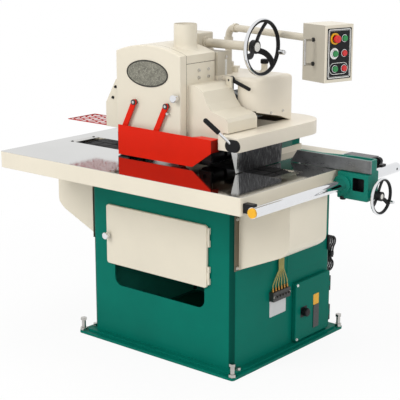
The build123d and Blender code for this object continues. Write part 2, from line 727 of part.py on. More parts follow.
# Overarm casting: beam, legs, column and guide post
finger_x = beam_front - 28.0
finger_z = beam_bottom + 27.0
finger_shaft = 9.0
end_round = 140.0
column_wall = 24.0
back_wall = 10.0
back_wall_left = 60.0
return_wall = 60.0
nut_x = (screw_x - 30, screw_x + 30)
rail_left = (post_left + post_right) / 2 - 32.5
rail_right = (post_left + post_right) / 2 + 32.5
guide_depth = 18.0
post_lean = post_top - 143.0
with BuildPart() as overarm:
    with BuildSketch(Plane.XY.offset(beam_bottom)) as plan:
        with BuildLine():
            Polyline(
                (beam_front, arm_far - end_round),
                (beam_front, beam_near),
                (beam_back, beam_near),
                (beam_back, leg_near),
                (leg_right[0], leg_near),
                (leg_right[0], arm_far),
                (beam_front - end_round, arm_far),
            )
            RadiusArc((beam_front - end_round, arm_far), (beam_front, arm_far - end_round), end_round)
        make_face()
    extrude(amount=beam_depth)
    block(leg_left, (leg_near, arm_far), (beam_bottom, beam_top))
    block(leg_left, (leg_near, leg_far), (table_height, beam_bottom))
    block(leg_right, (leg_near, leg_far), (table_height, beam_bottom))
    for leg in (leg_left, leg_right):
        block(leg, (leg_far, pedestal_far), foot_z)
    with BuildSketch(Plane.XY.offset(beam_top)) as walls:
        with Locations(((column_back + beam_back) / 2, (column_near + column_far) / 2)):
            Rectangle(beam_back - column_back, column_far - column_near)
        fillet(walls.vertices().sort_by(Axis.Y)[:2].sort_by(Axis.X)[-1], column_round)
    extrude(amount=column_top - beam_top)
    fillet(overarm.faces().sort_by(Axis.Z)[-1].edges(), 18)
    hollow_z = (beam_top, column_top - column_wall)
    wall_face = column_far - back_wall
    block((column_back + column_wall, back_wall_left), (column_near, column_far), hollow_z, Mode.SUBTRACT)
    block((back_wall_left, column_return), (column_near, wall_face), hollow_z, Mode.SUBTRACT)
    block(
        (column_return, beam_back - column_wall),
        (column_near + return_wall, wall_face),
        hollow_z,
        Mode.SUBTRACT,
    )
    block(
        (column_return, beam_back - column_wall),
        (column_near, column_near + return_wall),
        (beam_top, beam_top + 63),
        Mode.SUBTRACT,
    )
    prism_x(
        [
            (column_near, beam_top),
            (column_near, beam_top + 63),
            (column_far - 79, beam_top + 25),
            (column_far - 8, beam_top),
        ],
        (beam_back - column_wall, beam_back),
        Mode.SUBTRACT,
    )
    block(
        (nut_x[0] - 6, post_left),
        (column_near, wheel_y + 42),
        (column_top - column_wall, column_top),
        Mode.SUBTRACT,
    )
    prism_x(
        [
            (post_near, post_bottom),
            (post_near, post_top),
            (post_near + 83, post_top),
            (post_near + 116, post_lean),
            (post_near + 116, post_bottom),
        ],
        (post_left, post_right),
    )
    block((rail_left, rail_right), (post_near - guide_depth, post_near), (post_bottom, post_top))
    block((screw_x - 55, post_left + 10), (post_near, wheel_y + 55), (post_top - 20, post_top))
    rod_z(screw_x, wheel_y, (post_top - 20, post_top), screw_radius + running, Mode.SUBTRACT)
    block((arm_x - 43, arm_x + 42), (column_far - 10, arm_y + 34), (column_top - 28, column_top))
    rod_z(arm_x, arm_y, (column_top - 28, column_top), pipe_radius + running, Mode.SUBTRACT)
    block(
        (beam_back + beam_wall, beam_front - beam_wall),
        (beam_near + 8, leg_near - 36),
        (beam_bottom, beam_top - beam_wall),
        Mode.SUBTRACT,
    )
    rod_y(finger_x, (beam_near, beam_near + 8), finger_z, finger_shaft + running, Mode.SUBTRACT)
    rod_y(finger_x, (leg_near - 36, leg_near - 12), finger_z, finger_shaft + running, Mode.SUBTRACT)
overarm.part.label = "overarm"
export_step(overarm.part, "parts/overarm.step")

# Lift gearbox with the handwheel's shaft tube
gear_x = (screw_x - 50, screw_x + 50)
gear_top = post_top + 76.0
tube_end = wheel_plane - 51.0
wheel_shaft = 11.0
with BuildPart() as lift_gearbox:
    pad_z(gear_x, (wheel_y - 57, wheel_y + 53), (post_top, gear_top), 10)
    fillet(lift_gearbox.faces().sort_by(Axis.Z)[-1].edges(), 6)
    rod_x((gear_x[1] - 5, gear_x[1] + 10), wheel_y, wheel_z, 29)
    rod_x((gear_x[1] - 5, tube_end), wheel_y, wheel_z, 20)
    block(
        (gear_x[0] + 10, gear_x[1] - 10),
        (wheel_y - 45, wheel_y + 42),
        (post_top, gear_top - 10),
        Mode.SUBTRACT,
    )
    rod_x((gear_x[1] - 12, tube_end), wheel_y, wheel_z, wheel_shaft + running, Mode.SUBTRACT)
lift_gearbox.part.label = "lift_gearbox"
export_step(lift_gearbox.part, "parts/lift_gearbox.step")

# Lift screw with its bevel gear blank
nut_z = (table_height + 300.0, table_height + 325.0)
with BuildPart() as lift_screw:
    rod_z(screw_x, wheel_y, (nut_z[0] - 8, post_top + 8), screw_radius)
    with Locations((screw_x, wheel_y, post_top + 7)):
        Cone(26, 15, 11)
lift_screw.part.label = "lift_screw"
export_step(lift_screw.part, "parts/lift_screw.step")

# Lift handwheel: rim, three curved spokes, hub, shaft, bevel gear blank and handle
hub_x = (tube_end + slide, wheel_plane - wheel_dish)
rim_mid = wheel_radius - wheel_tube
with BuildPart() as lift_handwheel:
    with Locations(Location((wheel_plane, wheel_y, wheel_z), (0, 90, 0))):
        Torus(rim_mid, wheel_tube)
    rod_x(hub_x, wheel_y, wheel_z, 30)
    rod_x((hub_x[1], hub_x[1] + 5), wheel_y, wheel_z, 20)
    for i in range(3):
        start = radians(77 + 120 * i)
        spots = []
        dishing = ((20, -14, -wheel_dish - 8), (62, 10, -wheel_dish / 2), (rim_mid, -4, 0))
        for radius, bend, out in dishing:
            swing = start + radians(bend)
            spots.append((wheel_plane + out, wheel_y + radius * cos(swing), wheel_z + radius * sin(swing)))
        with BuildLine() as spoke:
            Spline(*spots)
        with BuildSketch(Plane(origin=spots[0], x_dir=(1, 0, 0), z_dir=spoke.line % 0)):
            Ellipse(6.5, 13)
        sweep(path=spoke.wires()[0])
    rod_x((gear_x[1] - 22, hub_x[0]), wheel_y, wheel_z, wheel_shaft)
    rod_x((gear_x[1] - 22, gear_x[1] - 14), wheel_y, wheel_z, 18)
    grip = radians(-14)
    grip_y = wheel_y + rim_mid * cos(grip)
    grip_z = wheel_z + rim_mid * sin(grip)
    rod_x((wheel_plane, wheel_plane + 16), grip_y, grip_z, 7)
    rod_x((wheel_plane + 12, wheel_plane + 34), grip_y, grip_z, 11)
    with Locations((wheel_plane + 34, grip_y, grip_z)):
        Sphere(11)
lift_handwheel.part.label = "lift_handwheel"
export_step(lift_handwheel.part, "parts/lift_handwheel.step")

# Head casting: blade housing, infeed and outfeed roller housings
slope_near = head_near + 5.0
slope_far = head_back + 17.0
toe_front = beam_back + 17.0
toe_under = beam_top + 4.0
toe_back = beam_back - 9.0
roller_z = table_height + roller_lift + roller_radius
axle_radius = 10.0
infeed_x = housing_right + 97.0
outfeed_x = housing_left - 10.0
cheek_near = (slope_near, slope_near + 12)
cheek_far = (head_back - 12, head_back)
T = table_height
slope_top = [
    (housing_right + 42, T + 343),
    (housing_right + 87, T + 321),
    (housing_right + 109, T + 272),
    (housing_right + 136, T + 241),
    (toe_front - 44, T + 228),
    (toe_front - 11, T + 219),
    (toe_front, T + 203),
    (toe_front, toe_under),
    (toe_back, toe_under),
    (toe_back, toe_bottom),
]
slope_hollow = [
    (housing_right, toe_bottom),
    (housing_right, T + 333),
    (housing_right + 40, T + 333),
    (housing_right + 80, T + 314),
    (housing_right + 102, T + 266),
    (housing_right + 131, T + 232),
    (toe_front - 46, T + 218),
    (toe_front - 17, T + 211),
    (toe_front - 10, T + 200),
    (toe_front - 10, toe_under + 10),
    (toe_back - 10, toe_under + 10),
    (toe_back - 10, toe_bottom),
]
lever_x = housing_right + 82.0
lever_z = T + 352.0
cover_pin_x = housing_left - 11.0
cover_pin_y = head_near - 17.0
cover_hinge_z = ((T + 245, T + 305), (T + 373, T + 430))
with BuildPart() as head_casting:
    block((housing_left, housing_right), (head_back - back_plate, head_back), (housing_bottom, lip))
    block((arbor_x - 66, arbor_x + 66), (head_back - back_plate, head_back), (arbor_z - 66, housing_bottom))
    block((housing_right - housing_wall, housing_right), (head_near, head_back), (housing_bottom, lip))
    block((housing_left, housing_left + housing_wall), (head_near, head_back), (toe_bottom, lip))
    inner_wall = housing_right - housing_wall
    prism_y([(inner_wall, toe_bottom), (inner_wall, T + 343)] + slope_top, (slope_near, head_back))
    prism_y([(post_right + 5, toe_bottom), (post_right + 5, T + 343)] + slope_top, (head_back, slope_far))
    prism_y(slope_hollow, (slope_near + 10, head_back - 12), Mode.SUBTRACT)
    prism_y(
        [
            (housing_left, toe_bottom),
            (housing_left - 109, toe_bottom),
            (housing_left - 109, T + 220),
            (housing_left - 44, T + 331),
            (housing_left, T + 331),
        ],
        (head_near, head_back),
    )
    prism_y(
        [
            (housing_left, toe_bottom),
            (housing_left - 99, toe_bottom),
            (housing_left - 99, T + 217),
            (housing_left - 39, T + 321),
            (housing_left, T + 321),
        ],
        (head_near + 10, head_back - 12),
        Mode.SUBTRACT,
    )
    for x in (infeed_x, outfeed_x):
        for span in (cheek_near, cheek_far):
            block((x - 32, x + 32), span, (roller_z - 22, toe_bottom + 12))
            rod_y(x, span, roller_z, axle_radius + running, Mode.SUBTRACT)
    block(
        (rail_left - slide, rail_right + slide),
        (post_near - guide_depth - slide, head_back),
        (housing_bottom, lip),
        Mode.SUBTRACT,
    )
    rod_y(arbor_x, (head_back - back_plate, head_back), arbor_z, quill_radius + slide, Mode.SUBTRACT)
    block(nut_x, (head_back, wheel_y + 30), nut_z)
    rod_z(screw_x, wheel_y, nut_z, screw_radius + running, Mode.SUBTRACT)
    block((lever_x - 15, lever_x + 15), (head_back - 6, slope_far - 12), (T + 318, lever_z + 14))
    rod_y(lever_x, (head_back - 6, slope_far - 12), lever_z, 5 + running, Mode.SUBTRACT)
    for span in cover_hinge_z:
        third = (span[1] - span[0]) / 3
        block((housing_left - 20, housing_left + 4), (head_near, head_near + 14), span)
        rod_z(cover_pin_x, cover_pin_y, span, hinge_pin)
        for piece in ((span[0], span[0] + third), (span[1] - third, span[1])):
            rod_z(cover_pin_x, cover_pin_y, piece, hinge_barrel)
            block((cover_pin_x - 6, cover_pin_x + 5), (cover_pin_y, head_near), piece)
head_casting.part.label = "head_casting"
export_step(head_casting.part, "parts/head_casting.step")

# Dust hood with an arched top and a round port
hood_sheet = 4.0
port_x = housing_right - 88.0
port_y = saw_line - 5.0
port_top = T + 594.0
flare_top = arch_foot + 40.0
flare_spread = 30.0
with BuildPart() as dust_hood:
    arch_y(housing_left, housing_right, lip, arch_foot, arch_rise, (head_near, head_back))
    rod_z(port_x, port_y, (arch_foot, port_top), port_radius)
    with BuildSketch(Plane(origin=(port_x, port_y, 0), x_dir=(1, 0, 0), z_dir=(0, -1, 0))):
        with BuildLine():
            flare_head = (port_radius, flare_top)
            flare_foot = (port_radius + flare_spread, arch_foot - 2)
            ThreePointArc(flare_head, (port_radius + 6.5, arch_foot + 16), flare_foot)
            Polyline(flare_foot, (port_radius - 2, arch_foot - 2), (port_radius - 2, flare_top), flare_head)
        make_face()
    revolve(axis=Axis((port_x, port_y, 0), (0, 0, 1)))
    arch_y(
        housing_left + hood_sheet,
        housing_right - hood_sheet,
        lip,
        arch_foot - hood_sheet,
        arch_rise,
        (head_near, head_back - hood_sheet),
        Mode.SUBTRACT,
    )
    rod_z(port_x, port_y, (arch_foot - 20, port_top), port_radius - 3, Mode.SUBTRACT)
    block(
        (rail_left - slide, rail_right + slide),
        (head_back - hood_sheet, head_back),
        (lip, post_top + slide),
        Mode.SUBTRACT,
    )
dust_hood.part.label = "dust_hood"
export_step(dust_hood.part, "parts/dust_hood.step")

# Blade cover on its hinge, with the pivots and the stop of the side guard
pivot_z = T + 250.0
pivot_xs = (arch_x - 70.0, arch_x + 118.0)
pivot_radius = 7.0
stop_x = pivot_xs[1] + 6.8
stop_z = pivot_z - 32.0
latch_x = housing_right - 19.0
latch_z = T + 289.0
link_y = (cover_face - 16, cover_face - 16 + link_thick)
with BuildPart() as blade_cover:
    arch_y(housing_left, housing_right, cover_bottom, arch_foot, arch_rise, (cover_face, cover_back))
    fillet(blade_cover.faces().sort_by(Axis.Y)[0].edges(), 6)
    arch_y(
        housing_left + hood_sheet,
        housing_right - hood_sheet,
        cover_bottom + hood_sheet,
        arch_foot - hood_sheet,
        arch_rise,
        (cover_face + hood_sheet, cover_back),
        Mode.SUBTRACT,
    )
    rod_y(latch_x, (cover_face, cover_face + hood_sheet), latch_z, knob_shaft + running, Mode.SUBTRACT)
    for x in pivot_xs:
        rod_y(x, (link_y[1] + slide, cover_face + hood_sheet), pivot_z, 12)
        rod_y(x, (link_y[0] - slide - 4, cover_face), pivot_z, pivot_radius)
        rod_y(x, (link_y[0] - slide - 5, link_y[0] - slide), pivot_z, 12)
    rod_y(stop_x, (link_y[0], cover_face + hood_sheet), stop_z, 6)
    for span in cover_hinge_z:
        low = span[0] + (span[1] - span[0]) / 3 + slide
        high = span[1] - (span[1] - span[0]) / 3 - slide
        block((cover_pin_x, housing_left + 2), (cover_pin_y - 3, cover_pin_y + 3), (low, high))
        rod_z(cover_pin_x, cover_pin_y, (low, high), hinge_barrel)
        rod_z(cover_pin_x, cover_pin_y, (low, high), hinge_pin + running, Mode.SUBTRACT)
blade_cover.part.label = "blade_cover"
export_step(blade_cover.part, "parts/blade_cover.step")

# Turning latch knob of the blade cover
with BuildPart() as latch_knob:
    rod_y(latch_x, (cover_face - slide - 8, cover_face - slide), latch_z, 11)
    rod_y(latch_x, (cover_face - 32, cover_face - slide - 8), latch_z, 18)
    fillet(latch_knob.faces().sort_by(Axis.Y)[0].edges(), 7)
    rod_y(latch_x, (cover_face - slide, cover_face + 14), latch_z, knob_shaft)
    block(
        (latch_x - 26, latch_x + 8),
        (cover_face + hood_sheet + 3, cover_face + hood_sheet + 7),
        (latch_z - 8, latch_z + 8),
    )
latch_knob.part.label = "latch_knob"
export_step(latch_knob.part, "parts/latch_knob.step")

# Two links of the side guard
lean = radians(link_lean)
drop_x = -link_length * sin(lean)
drop_z = -link_length * cos(lean)
foot_pin = 6.0
foot_play = 0.6


def link(x, play):
    across = (link_width / 2 * cos(lean), -link_width / 2 * sin(lean))
    low = (x + drop_x, pivot_z + drop_z)
    corners = [
        (x + across[0], pivot_z + across[1]),
        (x - across[0], pivot_z - across[1]),
        (low[0] - across[0], low[1] - across[1]),
        (low[0] + across[0], low[1] + across[1]),
    ]
    prism_y(corners, link_y)
    rod_y(x, link_y, pivot_z, link_width / 2)
    rod_y(low[0], link_y, low[1], link_width / 2)
    rod_y(x, link_y, pivot_z, pivot_radius + running, Mode.SUBTRACT)
    rod_y(low[0], link_y, low[1], foot_pin + play, Mode.SUBTRACT)


with BuildPart() as guard_link_rear:
    link(pivot_xs[0], running)
guard_link_rear.part.label = "guard_link_rear"
export_step(guard_link_rear.part, "parts/guard_link_rear.step")

with BuildPart() as guard_link_front:
    link(pivot_xs[1], foot_play)
guard_link_front.part.label = "guard_link_front"
export_step(guard_link_front.part, "parts/guard_link_front.step")

# Red side guard with a bent infeed end, hung on the links
guard_y = (cover_face - 25.5 - guard_plate, cover_face - 25.5)
guard_left = housing_left + 34.0
guard_right = housing_right + 196.0
flange_back = head_near - 22.0
with BuildPart() as side_guard:
    prism_y(
        [
            (guard_left, T + 8),
            (guard_right - 106, T + 8),
            (guard_right, T + 81),
            (guard_right, T + 136),
            (guard_left, T + 143),
        ],
        guard_y,
    )
    block((guard_right - guard_plate, guard_right), (guard_y[0], flange_back), (T + 81, T + 136))
    with BuildSketch(Plane.XY.offset(T + 133)):
        Polygon(
            (guard_right - 118, guard_y[1]),
            (guard_right, guard_y[1]),
            (guard_right, flange_back),
            (guard_right - 92, flange_back),
            align=None,
        )
    extrude(amount=guard_plate)
    for x in pivot_xs:
        low = (x + drop_x, pivot_z + drop_z)
        rod_y(low[0], (guard_y[1], link_y[0] - slide), low[1], 11)
        rod_y(low[0], (guard_y[1], link_y[1] + slide + 3), low[1], foot_pin)
        rod_y(low[0], (link_y[1] + slide, link_y[1] + slide + 3), low[1], 10)
side_guard.part.label = "side_guard"
export_step(side_guard.part, "parts/side_guard.step")

# Red mesh guard over the outfeed chain
mesh_x = (housing_left - 109 - 256, housing_left - 109)
mesh_y = (head_near + 1, saw_line + 80)
mesh_mid = ((mesh_x[0] + mesh_x[1]) / 2, (mesh_y[0] + mesh_y[1]) / 2)
mesh_size = (mesh_x[1] - mesh_x[0], mesh_y[1] - mesh_y[0])
mesh_bar = 3.0
mesh_rim = 6.0
mesh_step = 84.0
mesh_angle = 25.0
with BuildPart() as mesh_guard:
    with BuildSketch(Plane.XY.offset(toe_bottom + 2)) as lattice:
        for i in range(-4, 5):
            with Locations((mesh_mid[0] + i * mesh_step, mesh_mid[1])):
                Rectangle(mesh_size[0] * 2, mesh_bar, rotation=mesh_angle)
                Rectangle(mesh_size[0] * 2, mesh_bar, rotation=-mesh_angle)
        with Locations(mesh_mid):
            Rectangle(mesh_size[0], mesh_size[1], mode=Mode.INTERSECT)
        with Locations((mesh_mid[0], mesh_y[1] - mesh_bar / 2)):
            Rectangle(mesh_size[0], mesh_bar)
        with Locations((mesh_mid[0], mesh_y[0] + mesh_rim / 2)):
            Rectangle(mesh_size[0], mesh_rim)
        with Locations((mesh_x[0] + mesh_bar / 2, mesh_mid[1]), (mesh_x[1] - mesh_bar / 2, mesh_mid[1])):
            Rectangle(mesh_bar, mesh_size[1])
    extrude(amount=mesh_bar)
    block((mesh_x[1] - 4, mesh_x[1]), mesh_y, (toe_bottom + 2, toe_bottom + 24))
mesh_guard.part.label = "mesh_guard"
export_step(mesh_guard.part, "parts/mesh_guard.step")

# Arbor housing through the head's back plate
quill_near = head_back - back_plate
quill_end = column_far + 45.0
with BuildPart() as arbor_housing:
    rod_y(arbor_x, (quill_near, quill_end), arbor_z, quill_radius)
    rod_y(arbor_x, (head_back, head_back + 14), arbor_z, quill_radius + 17)
    rod_y(arbor_x, (quill_end - 14, quill_end), arbor_z, quill_radius + 17)
    rod_y(arbor_x, (quill_near + 32, quill_end - 32), arbor_z, quill_radius - 14, Mode.SUBTRACT)
    rod_y(arbor_x, (quill_near, quill_end), arbor_z, arbor_radius + running, Mode.SUBTRACT)
arbor_housing.part.label = "arbor_housing"
export_step(arbor_housing.part, "parts/arbor_housing.step")

# Arbor with collars and nut
blade_y = (saw_line - blade_thick / 2, saw_line + blade_thick / 2)
with BuildPart() as arbor:
    rod_y(arbor_x, (blade_y[0] - 34, quill_end + 24), arbor_z, arbor_radius)
    rod_y(arbor_x, (blade_y[1], blade_y[1] + 12), arbor_z, 45)
    rod_y(arbor_x, (blade_y[1] + 12, quill_near - slide), arbor_z, 27)
    rod_y(arbor_x, (blade_y[0] - 12, blade_y[0]), arbor_z, 45)
    hex_y(arbor_x, (blade_y[0] - 28, blade_y[0] - 12), arbor_z, 55)
arbor.part.label = "arbor"
export_step(arbor.part, "parts/arbor.step")

# Saw blade with raked teeth
teeth = 36
tip_radius = blade_diameter / 2
root_radius = tip_radius - 11.0
with BuildPart() as saw_blade:
    with BuildSketch(Plane.XZ.offset(-blade_y[1])) as disc:
        outline = []
        for i in range(teeth):
            step = 2 * pi / teeth
            tooth = ((0.0, tip_radius), (0.12, root_radius), (0.45, root_radius), (0.8, tip_radius - 3))
            for share, radius in tooth:
                swing = (i + share) * step
                outline.append((arbor_x + radius * cos(swing), arbor_z + radius * sin(swing)))
        Polygon(*outline, align=None)
        with Locations((arbor_x, arbor_z)):
            Circle(arbor_radius, mode=Mode.SUBTRACT)
    extrude(amount=blade_thick)
saw_blade.part.label = "saw_blade"
export_step(saw_blade.part, "parts/saw_blade.step")

# Saw motor behind the column, bolted to the arbor housing
motor_end = quill_end + 230.0
with BuildPart() as saw_motor:
    rod_y(arbor_x, (quill_end, quill_end + 16), arbor_z, 88)
    rod_y(arbor_x, (quill_end + 16, motor_end - 44), arbor_z, 80)
    for i in range(8):
        rod_y(arbor_x, (quill_end + 24 + 19 * i, quill_end + 29 + 19 * i), arbor_z, 86)
    rod_y(arbor_x, (motor_end - 44, motor_end), arbor_z, 86)
    block((arbor_x - 120, arbor_x - 60), (quill_end + 60, quill_end + 140), (arbor_z + 10, arbor_z + 70))
    rod_y(arbor_x, (quill_end, quill_end + 30), arbor_z, arbor_radius + 2, Mode.SUBTRACT)
saw_motor.part.label = "saw_motor"
export_step(saw_motor.part, "parts/saw_motor.step")


# Pressure rollers straddling the blade
def roller(x):
    rod_y(x, (cheek_near[0] - 3, cheek_far[1] + 3), roller_z, axle_radius)
    rod_y(x, (cheek_near[1] + 2, saw_line - 10), roller_z, roller_radius)
    rod_y(x, (saw_line + 10, cheek_far[0] - 2), roller_z, roller_radius)


with BuildPart() as infeed_roller:
    roller(infeed_x)
infeed_roller.part.label = "infeed_roller"
export_step(infeed_roller.part, "parts/infeed_roller.step")

with BuildPart() as outfeed_roller:
    roller(outfeed_x)
outfeed_roller.part.label = "outfeed_roller"
export_step(outfeed_roller.part, "parts/outfeed_roller.step")

# Clamp lever of the head
lever_y = slope_far - 12 + slide
with BuildPart() as clamp_lever:
    rod_y(lever_x, (head_back - 4, lever_y), lever_z, 5)
    rod_y(lever_x, (lever_y, lever_y + 18), lever_z, 15)
    rod((lever_x, lever_y + 9, lever_z), (lever_x + 98, lever_y + 9, lever_z - 33), 8)
    rod((lever_x, lever_y + 9, lever_z), (lever_x - 26, lever_y + 9, lever_z + 3), 6)
    with Locations((lever_x + 98, lever_y + 9, lever_z - 33)):
        Sphere(8)
clamp_lever.part.label = "clamp_lever"
export_step(clamp_lever.part, "parts/clamp_lever.step")

# Anti-kickback fingers on their shaft
finger_start = beam_near + 10.0
with BuildPart() as kickback_fingers:
    rod_y(finger_x, (beam_near - 4, leg_near - 14), finger_z, finger_shaft)
    for i in range(finger_count):
        span = (finger_start + i * finger_pitch, finger_start + i * finger_pitch + finger_thick)
        prism_y(
            [
                (finger_x - 13, finger_z + 5),
                (finger_x + 13, finger_z + 5),
                (finger_x + 15, beam_bottom),
                (finger_x + 9, T + 3),
                (finger_x + 5, T + 3),
                (finger_x - 20, beam_bottom),
            ],
            span,
        )
kickback_fingers.part.label = "kickback_fingers"
export_step(kickback_fingers.part, "parts/kickback_fingers.step")

# Release lever of the fingers
hub_y = (beam_near - 12, beam_near - slide)
lever_root = (finger_x - 8, hub_y[0] + 6, finger_z + 8)
lever_tip = (finger_x - 88, beam_near - 74, finger_z + 107)
lever_grip = tuple(a + 0.48 * (b - a) for a, b in zip(lever_root, lever_tip))
with BuildPart() as finger_lever:
    with BuildSketch(Plane.XZ.offset(-hub_y[1])):
        with Locations((finger_x, finger_z)):
            SlotOverall(74, 52)
    extrude(amount=hub_y[1] - hub_y[0])
    fillet(finger_lever.faces().sort_by(Axis.Y)[0].edges(), 4)
    rod(lever_root, lever_tip, 6)
    rod(lever_grip, lever_tip, 10.5)
    with Locations(lever_tip):
        Sphere(10.5)
    rod_y(finger_x, (beam_near - 4, beam_near), finger_z, finger_shaft, Mode.SUBTRACT)
finger_lever.part.label = "finger_lever"
export_step(finger_lever.part, "parts/finger_lever.step")

# Fence rail, its brackets and end caps
bracket_near = rail_near + 15.0
bracket_far = table_far - 30.0
with BuildPart() as fence_rail:
    rod_y(rail_x, (rail_near, rail_far), rail_z, rail_radius)
    rod_x((rail_x - rail_radius, rail_x + rail_radius), rail_far - 30, rail_z, 6, Mode.SUBTRACT)
fence_rail.part.label = "fence_rail"
export_step(fence_rail.part, "parts/fence_rail.step")

with BuildPart() as rail_brackets:
    for y in (bracket_near, bracket_far):
        block((table_x, rail_x), (y - 15, y + 15), (rail_z - 7, rail_z + 31))
        rod_y(rail_x, (y - 15, y + 15), rail_z, rail_radius, Mode.SUBTRACT)
rail_brackets.part.label = "rail_brackets"
export_step(rail_brackets.part, "parts/rail_brackets.step")

with BuildPart() as rail_caps:
    rod_y(rail_x, (rail_near - 5, rail_near), rail_z, rail_radius - 3)
    rod_y(rail_x, (rail_far, rail_far + 5), rail_z, rail_radius - 3)
rail_caps.part.label = "rail_caps"
export_step(rail_caps.part, "parts/rail_caps.step")

# Fence casting: channel over the table, block and boss on the rail
fence_base = table_height + fence_lift
fence_top = table_height + fence_height
fence_back = fence_line + 62.0
fence_wheel_y = fence_line + 26.0
fence_wheel_z = rail_z - 34.0
fence_shaft = 8.0
fence_knob_x = fence_end - 16.0
fence_knob_z = fence_top - 14.0
with BuildPart() as fence_body:
    with BuildSketch(Plane.XY.offset(fence_base)) as bar:
        Polygon(
            (fence_tip + 40, fence_line + 8),
            (fence_end, fence_line + 8),
            (fence_end, fence_back),
            (rail_x + 10, fence_back),
            (fence_tip + 150, fence_line + 28),
            (fence_tip + 40, fence_line + 28),
            align=None,
        )
        fillet(bar.vertices().sort_by(Axis.X)[-2:].sort_by(Axis.Y)[-1], 20)
    extrude(amount=fence_top - fence_base)
    with BuildSketch(Plane.XY.offset(fence_base + 12)) as channel:
        Polygon(
            (fence_tip + 185, fence_line + 19),
            (fence_end - 12, fence_line + 19),
            (fence_end - 12, fence_back - 12),
            (rail_x + 20, fence_back - 12),
            align=None,
        )
        fillet(channel.vertices().sort_by(Axis.X)[-2:], 8)
    extrude(amount=fence_top - fence_base, mode=Mode.SUBTRACT)
    block((rail_x - 45, fence_end - 36), (fence_back - 2, fence_back + 58), (fence_top - 8, fence_top))
    pad_y((rail_x - 24, fence_end), (rail_z - 58, fence_base + 6), (fence_line - 16, fence_back), 5)
    step_y = (fence_line - 16, fence_line + 8)
    block((rail_x - 24, fence_end), step_y, (fence_base - 4, fence_base + 6), Mode.SUBTRACT)
    rod_y(rail_x, (fence_line - 24, fence_back + 4), rail_z, 42)
    pad_y(
        (fence_end - 77, fence_end - 20),
        (rail_z - 19, rail_z + 37),
        (fence_line - 16, fence_line + 24),
        5,
        Mode.SUBTRACT,
    )
    rod_y(rail_x, (fence_line - 24, fence_back + 4), rail_z, rail_radius + running, Mode.SUBTRACT)
    rod_x((fence_end - 8, fence_end + 14), fence_wheel_y, fence_wheel_z, 18)
    shaft_bore = fence_shaft + running
    rod_x((fence_end - 36, fence_end + 14), fence_wheel_y, fence_wheel_z, shaft_bore, Mode.SUBTRACT)
    rod_y(fence_knob_x, (fence_back - 12, fence_back), fence_knob_z, knob_shaft + running, Mode.SUBTRACT)
fence_body.part.label = "fence_body"
export_step(fence_body.part, "parts/fence_body.step")

with BuildPart() as fence_face:
    prism_y(
        [
            (fence_tip, fence_base),
            (fence_end, fence_base),
            (fence_end, fence_top),
            (fence_tip + 36, fence_top),
        ],
        (fence_line, fence_line + 8),
    )
fence_face.part.label = "fence_face"
export_step(fence_face.part, "parts/fence_face.step")

# Fence handwheel
fence_plane = fence_end + 40.0
fence_rim = fence_wheel_radius - 7.0
with BuildPart() as fence_handwheel:
    with Locations(Location((fence_plane, fence_wheel_y, fence_wheel_z), (0, 90, 0))):
        Torus(fence_rim, 7)
    rod_x((fence_end + 14 + slide, fence_plane + 4), fence_wheel_y, fence_wheel_z, 20)
    rod_x((fence_end - 34, fence_end + 16), fence_wheel_y, fence_wheel_z, fence_shaft)
    for i in range(3):
        start = radians(85 + 120 * i)
        spots = []
        for radius, bend, out in ((12, -8, -16), (40, 5, -8), (fence_rim, -2, 0)):
            swing = start + radians(bend)
            spots.append(
                (fence_plane + out, fence_wheel_y + radius * cos(swing), fence_wheel_z + radius * sin(swing))
            )
        with BuildLine() as spoke:
            Spline(*spots)
        with BuildSketch(Plane(origin=spots[0], x_dir=(1, 0, 0), z_dir=spoke.line % 0)):
            Ellipse(5, 9)
        sweep(path=spoke.wires()[0])
    grip_y = fence_wheel_y + fence_rim * cos(radians(-28))
    grip_z = fence_wheel_z + fence_rim * sin(radians(-28))
    rod_x((fence_plane - 9, fence_plane + 8), grip_y, grip_z, 8)
    rod_x((fence_plane + 8, fence_plane + 20), grip_y, grip_z, 7)
    with Locations((fence_plane + 20, grip_y, grip_z)):
        Sphere(7)
fence_handwheel.part.label = "fence_handwheel"
export_step(fence_handwheel.part, "parts/fence_handwheel.step")

# Lock knob of the fence
with BuildPart() as fence_knob:
    rod_y(fence_knob_x, (fence_back - 10, fence_back + slide), fence_knob_z, knob_shaft)
    rod_y(fence_knob_x, (fence_back + slide, fence_back + 14), fence_knob_z, 8)
    rod_y(fence_knob_x, (fence_back + 14, fence_back + 36), fence_knob_z, 17)
    fillet(fence_knob.faces().sort_by(Axis.Y)[-1].edges(), 5)
fence_knob.part.label = "fence_knob"
export_step(fence_knob.part, "parts/fence_knob.step")

# Control arm: a bent pipe that swivels in the overarm's lug
arm_dir = (cos(radians(arm_turn)), -sin(radians(arm_turn)))
arm_end = (arm_x + arm_reach * arm_dir[0], arm_y + arm_reach * arm_dir[1], arm_z)
arm_foot = column_top - 28.0
with BuildPart() as control_arm:
    with BuildLine() as pipe:
        FilletPolyline((arm_x, arm_y, arm_foot), (arm_x, arm_y, arm_z), arm_end, radius=46)
    with BuildSketch(Plane(origin=(arm_x, arm_y, arm_foot), z_dir=(0, 0, 1))):
        Circle(pipe_radius)
        Circle(pipe_radius - 3, mode=Mode.SUBTRACT)
    sweep(path=pipe.wires()[0])
    bands = ((column_top + slide, column_top + 20), (arm_z - 88, arm_z - 76), (arm_z - 62, arm_z - 46))
    for span, wide in zip(bands, (9, 3, 5)):
        rod_z(arm_x, arm_y, span, pipe_radius + wide)
        rod_z(arm_x, arm_y, span, pipe_radius - 3, Mode.SUBTRACT)
    band = [(arm_x + reach * arm_dir[0], arm_y + reach * arm_dir[1], arm_z) for reach in (46, 62)]
    rod(band[0], band[1], pipe_radius + 5)
    rod(band[0], band[1], pipe_radius - 3, Mode.SUBTRACT)
    flange_start = (arm_end[0] - 10 * arm_dir[0], arm_end[1] - 10 * arm_dir[1], arm_z)
    rod(flange_start, arm_end, pipe_radius + 14)
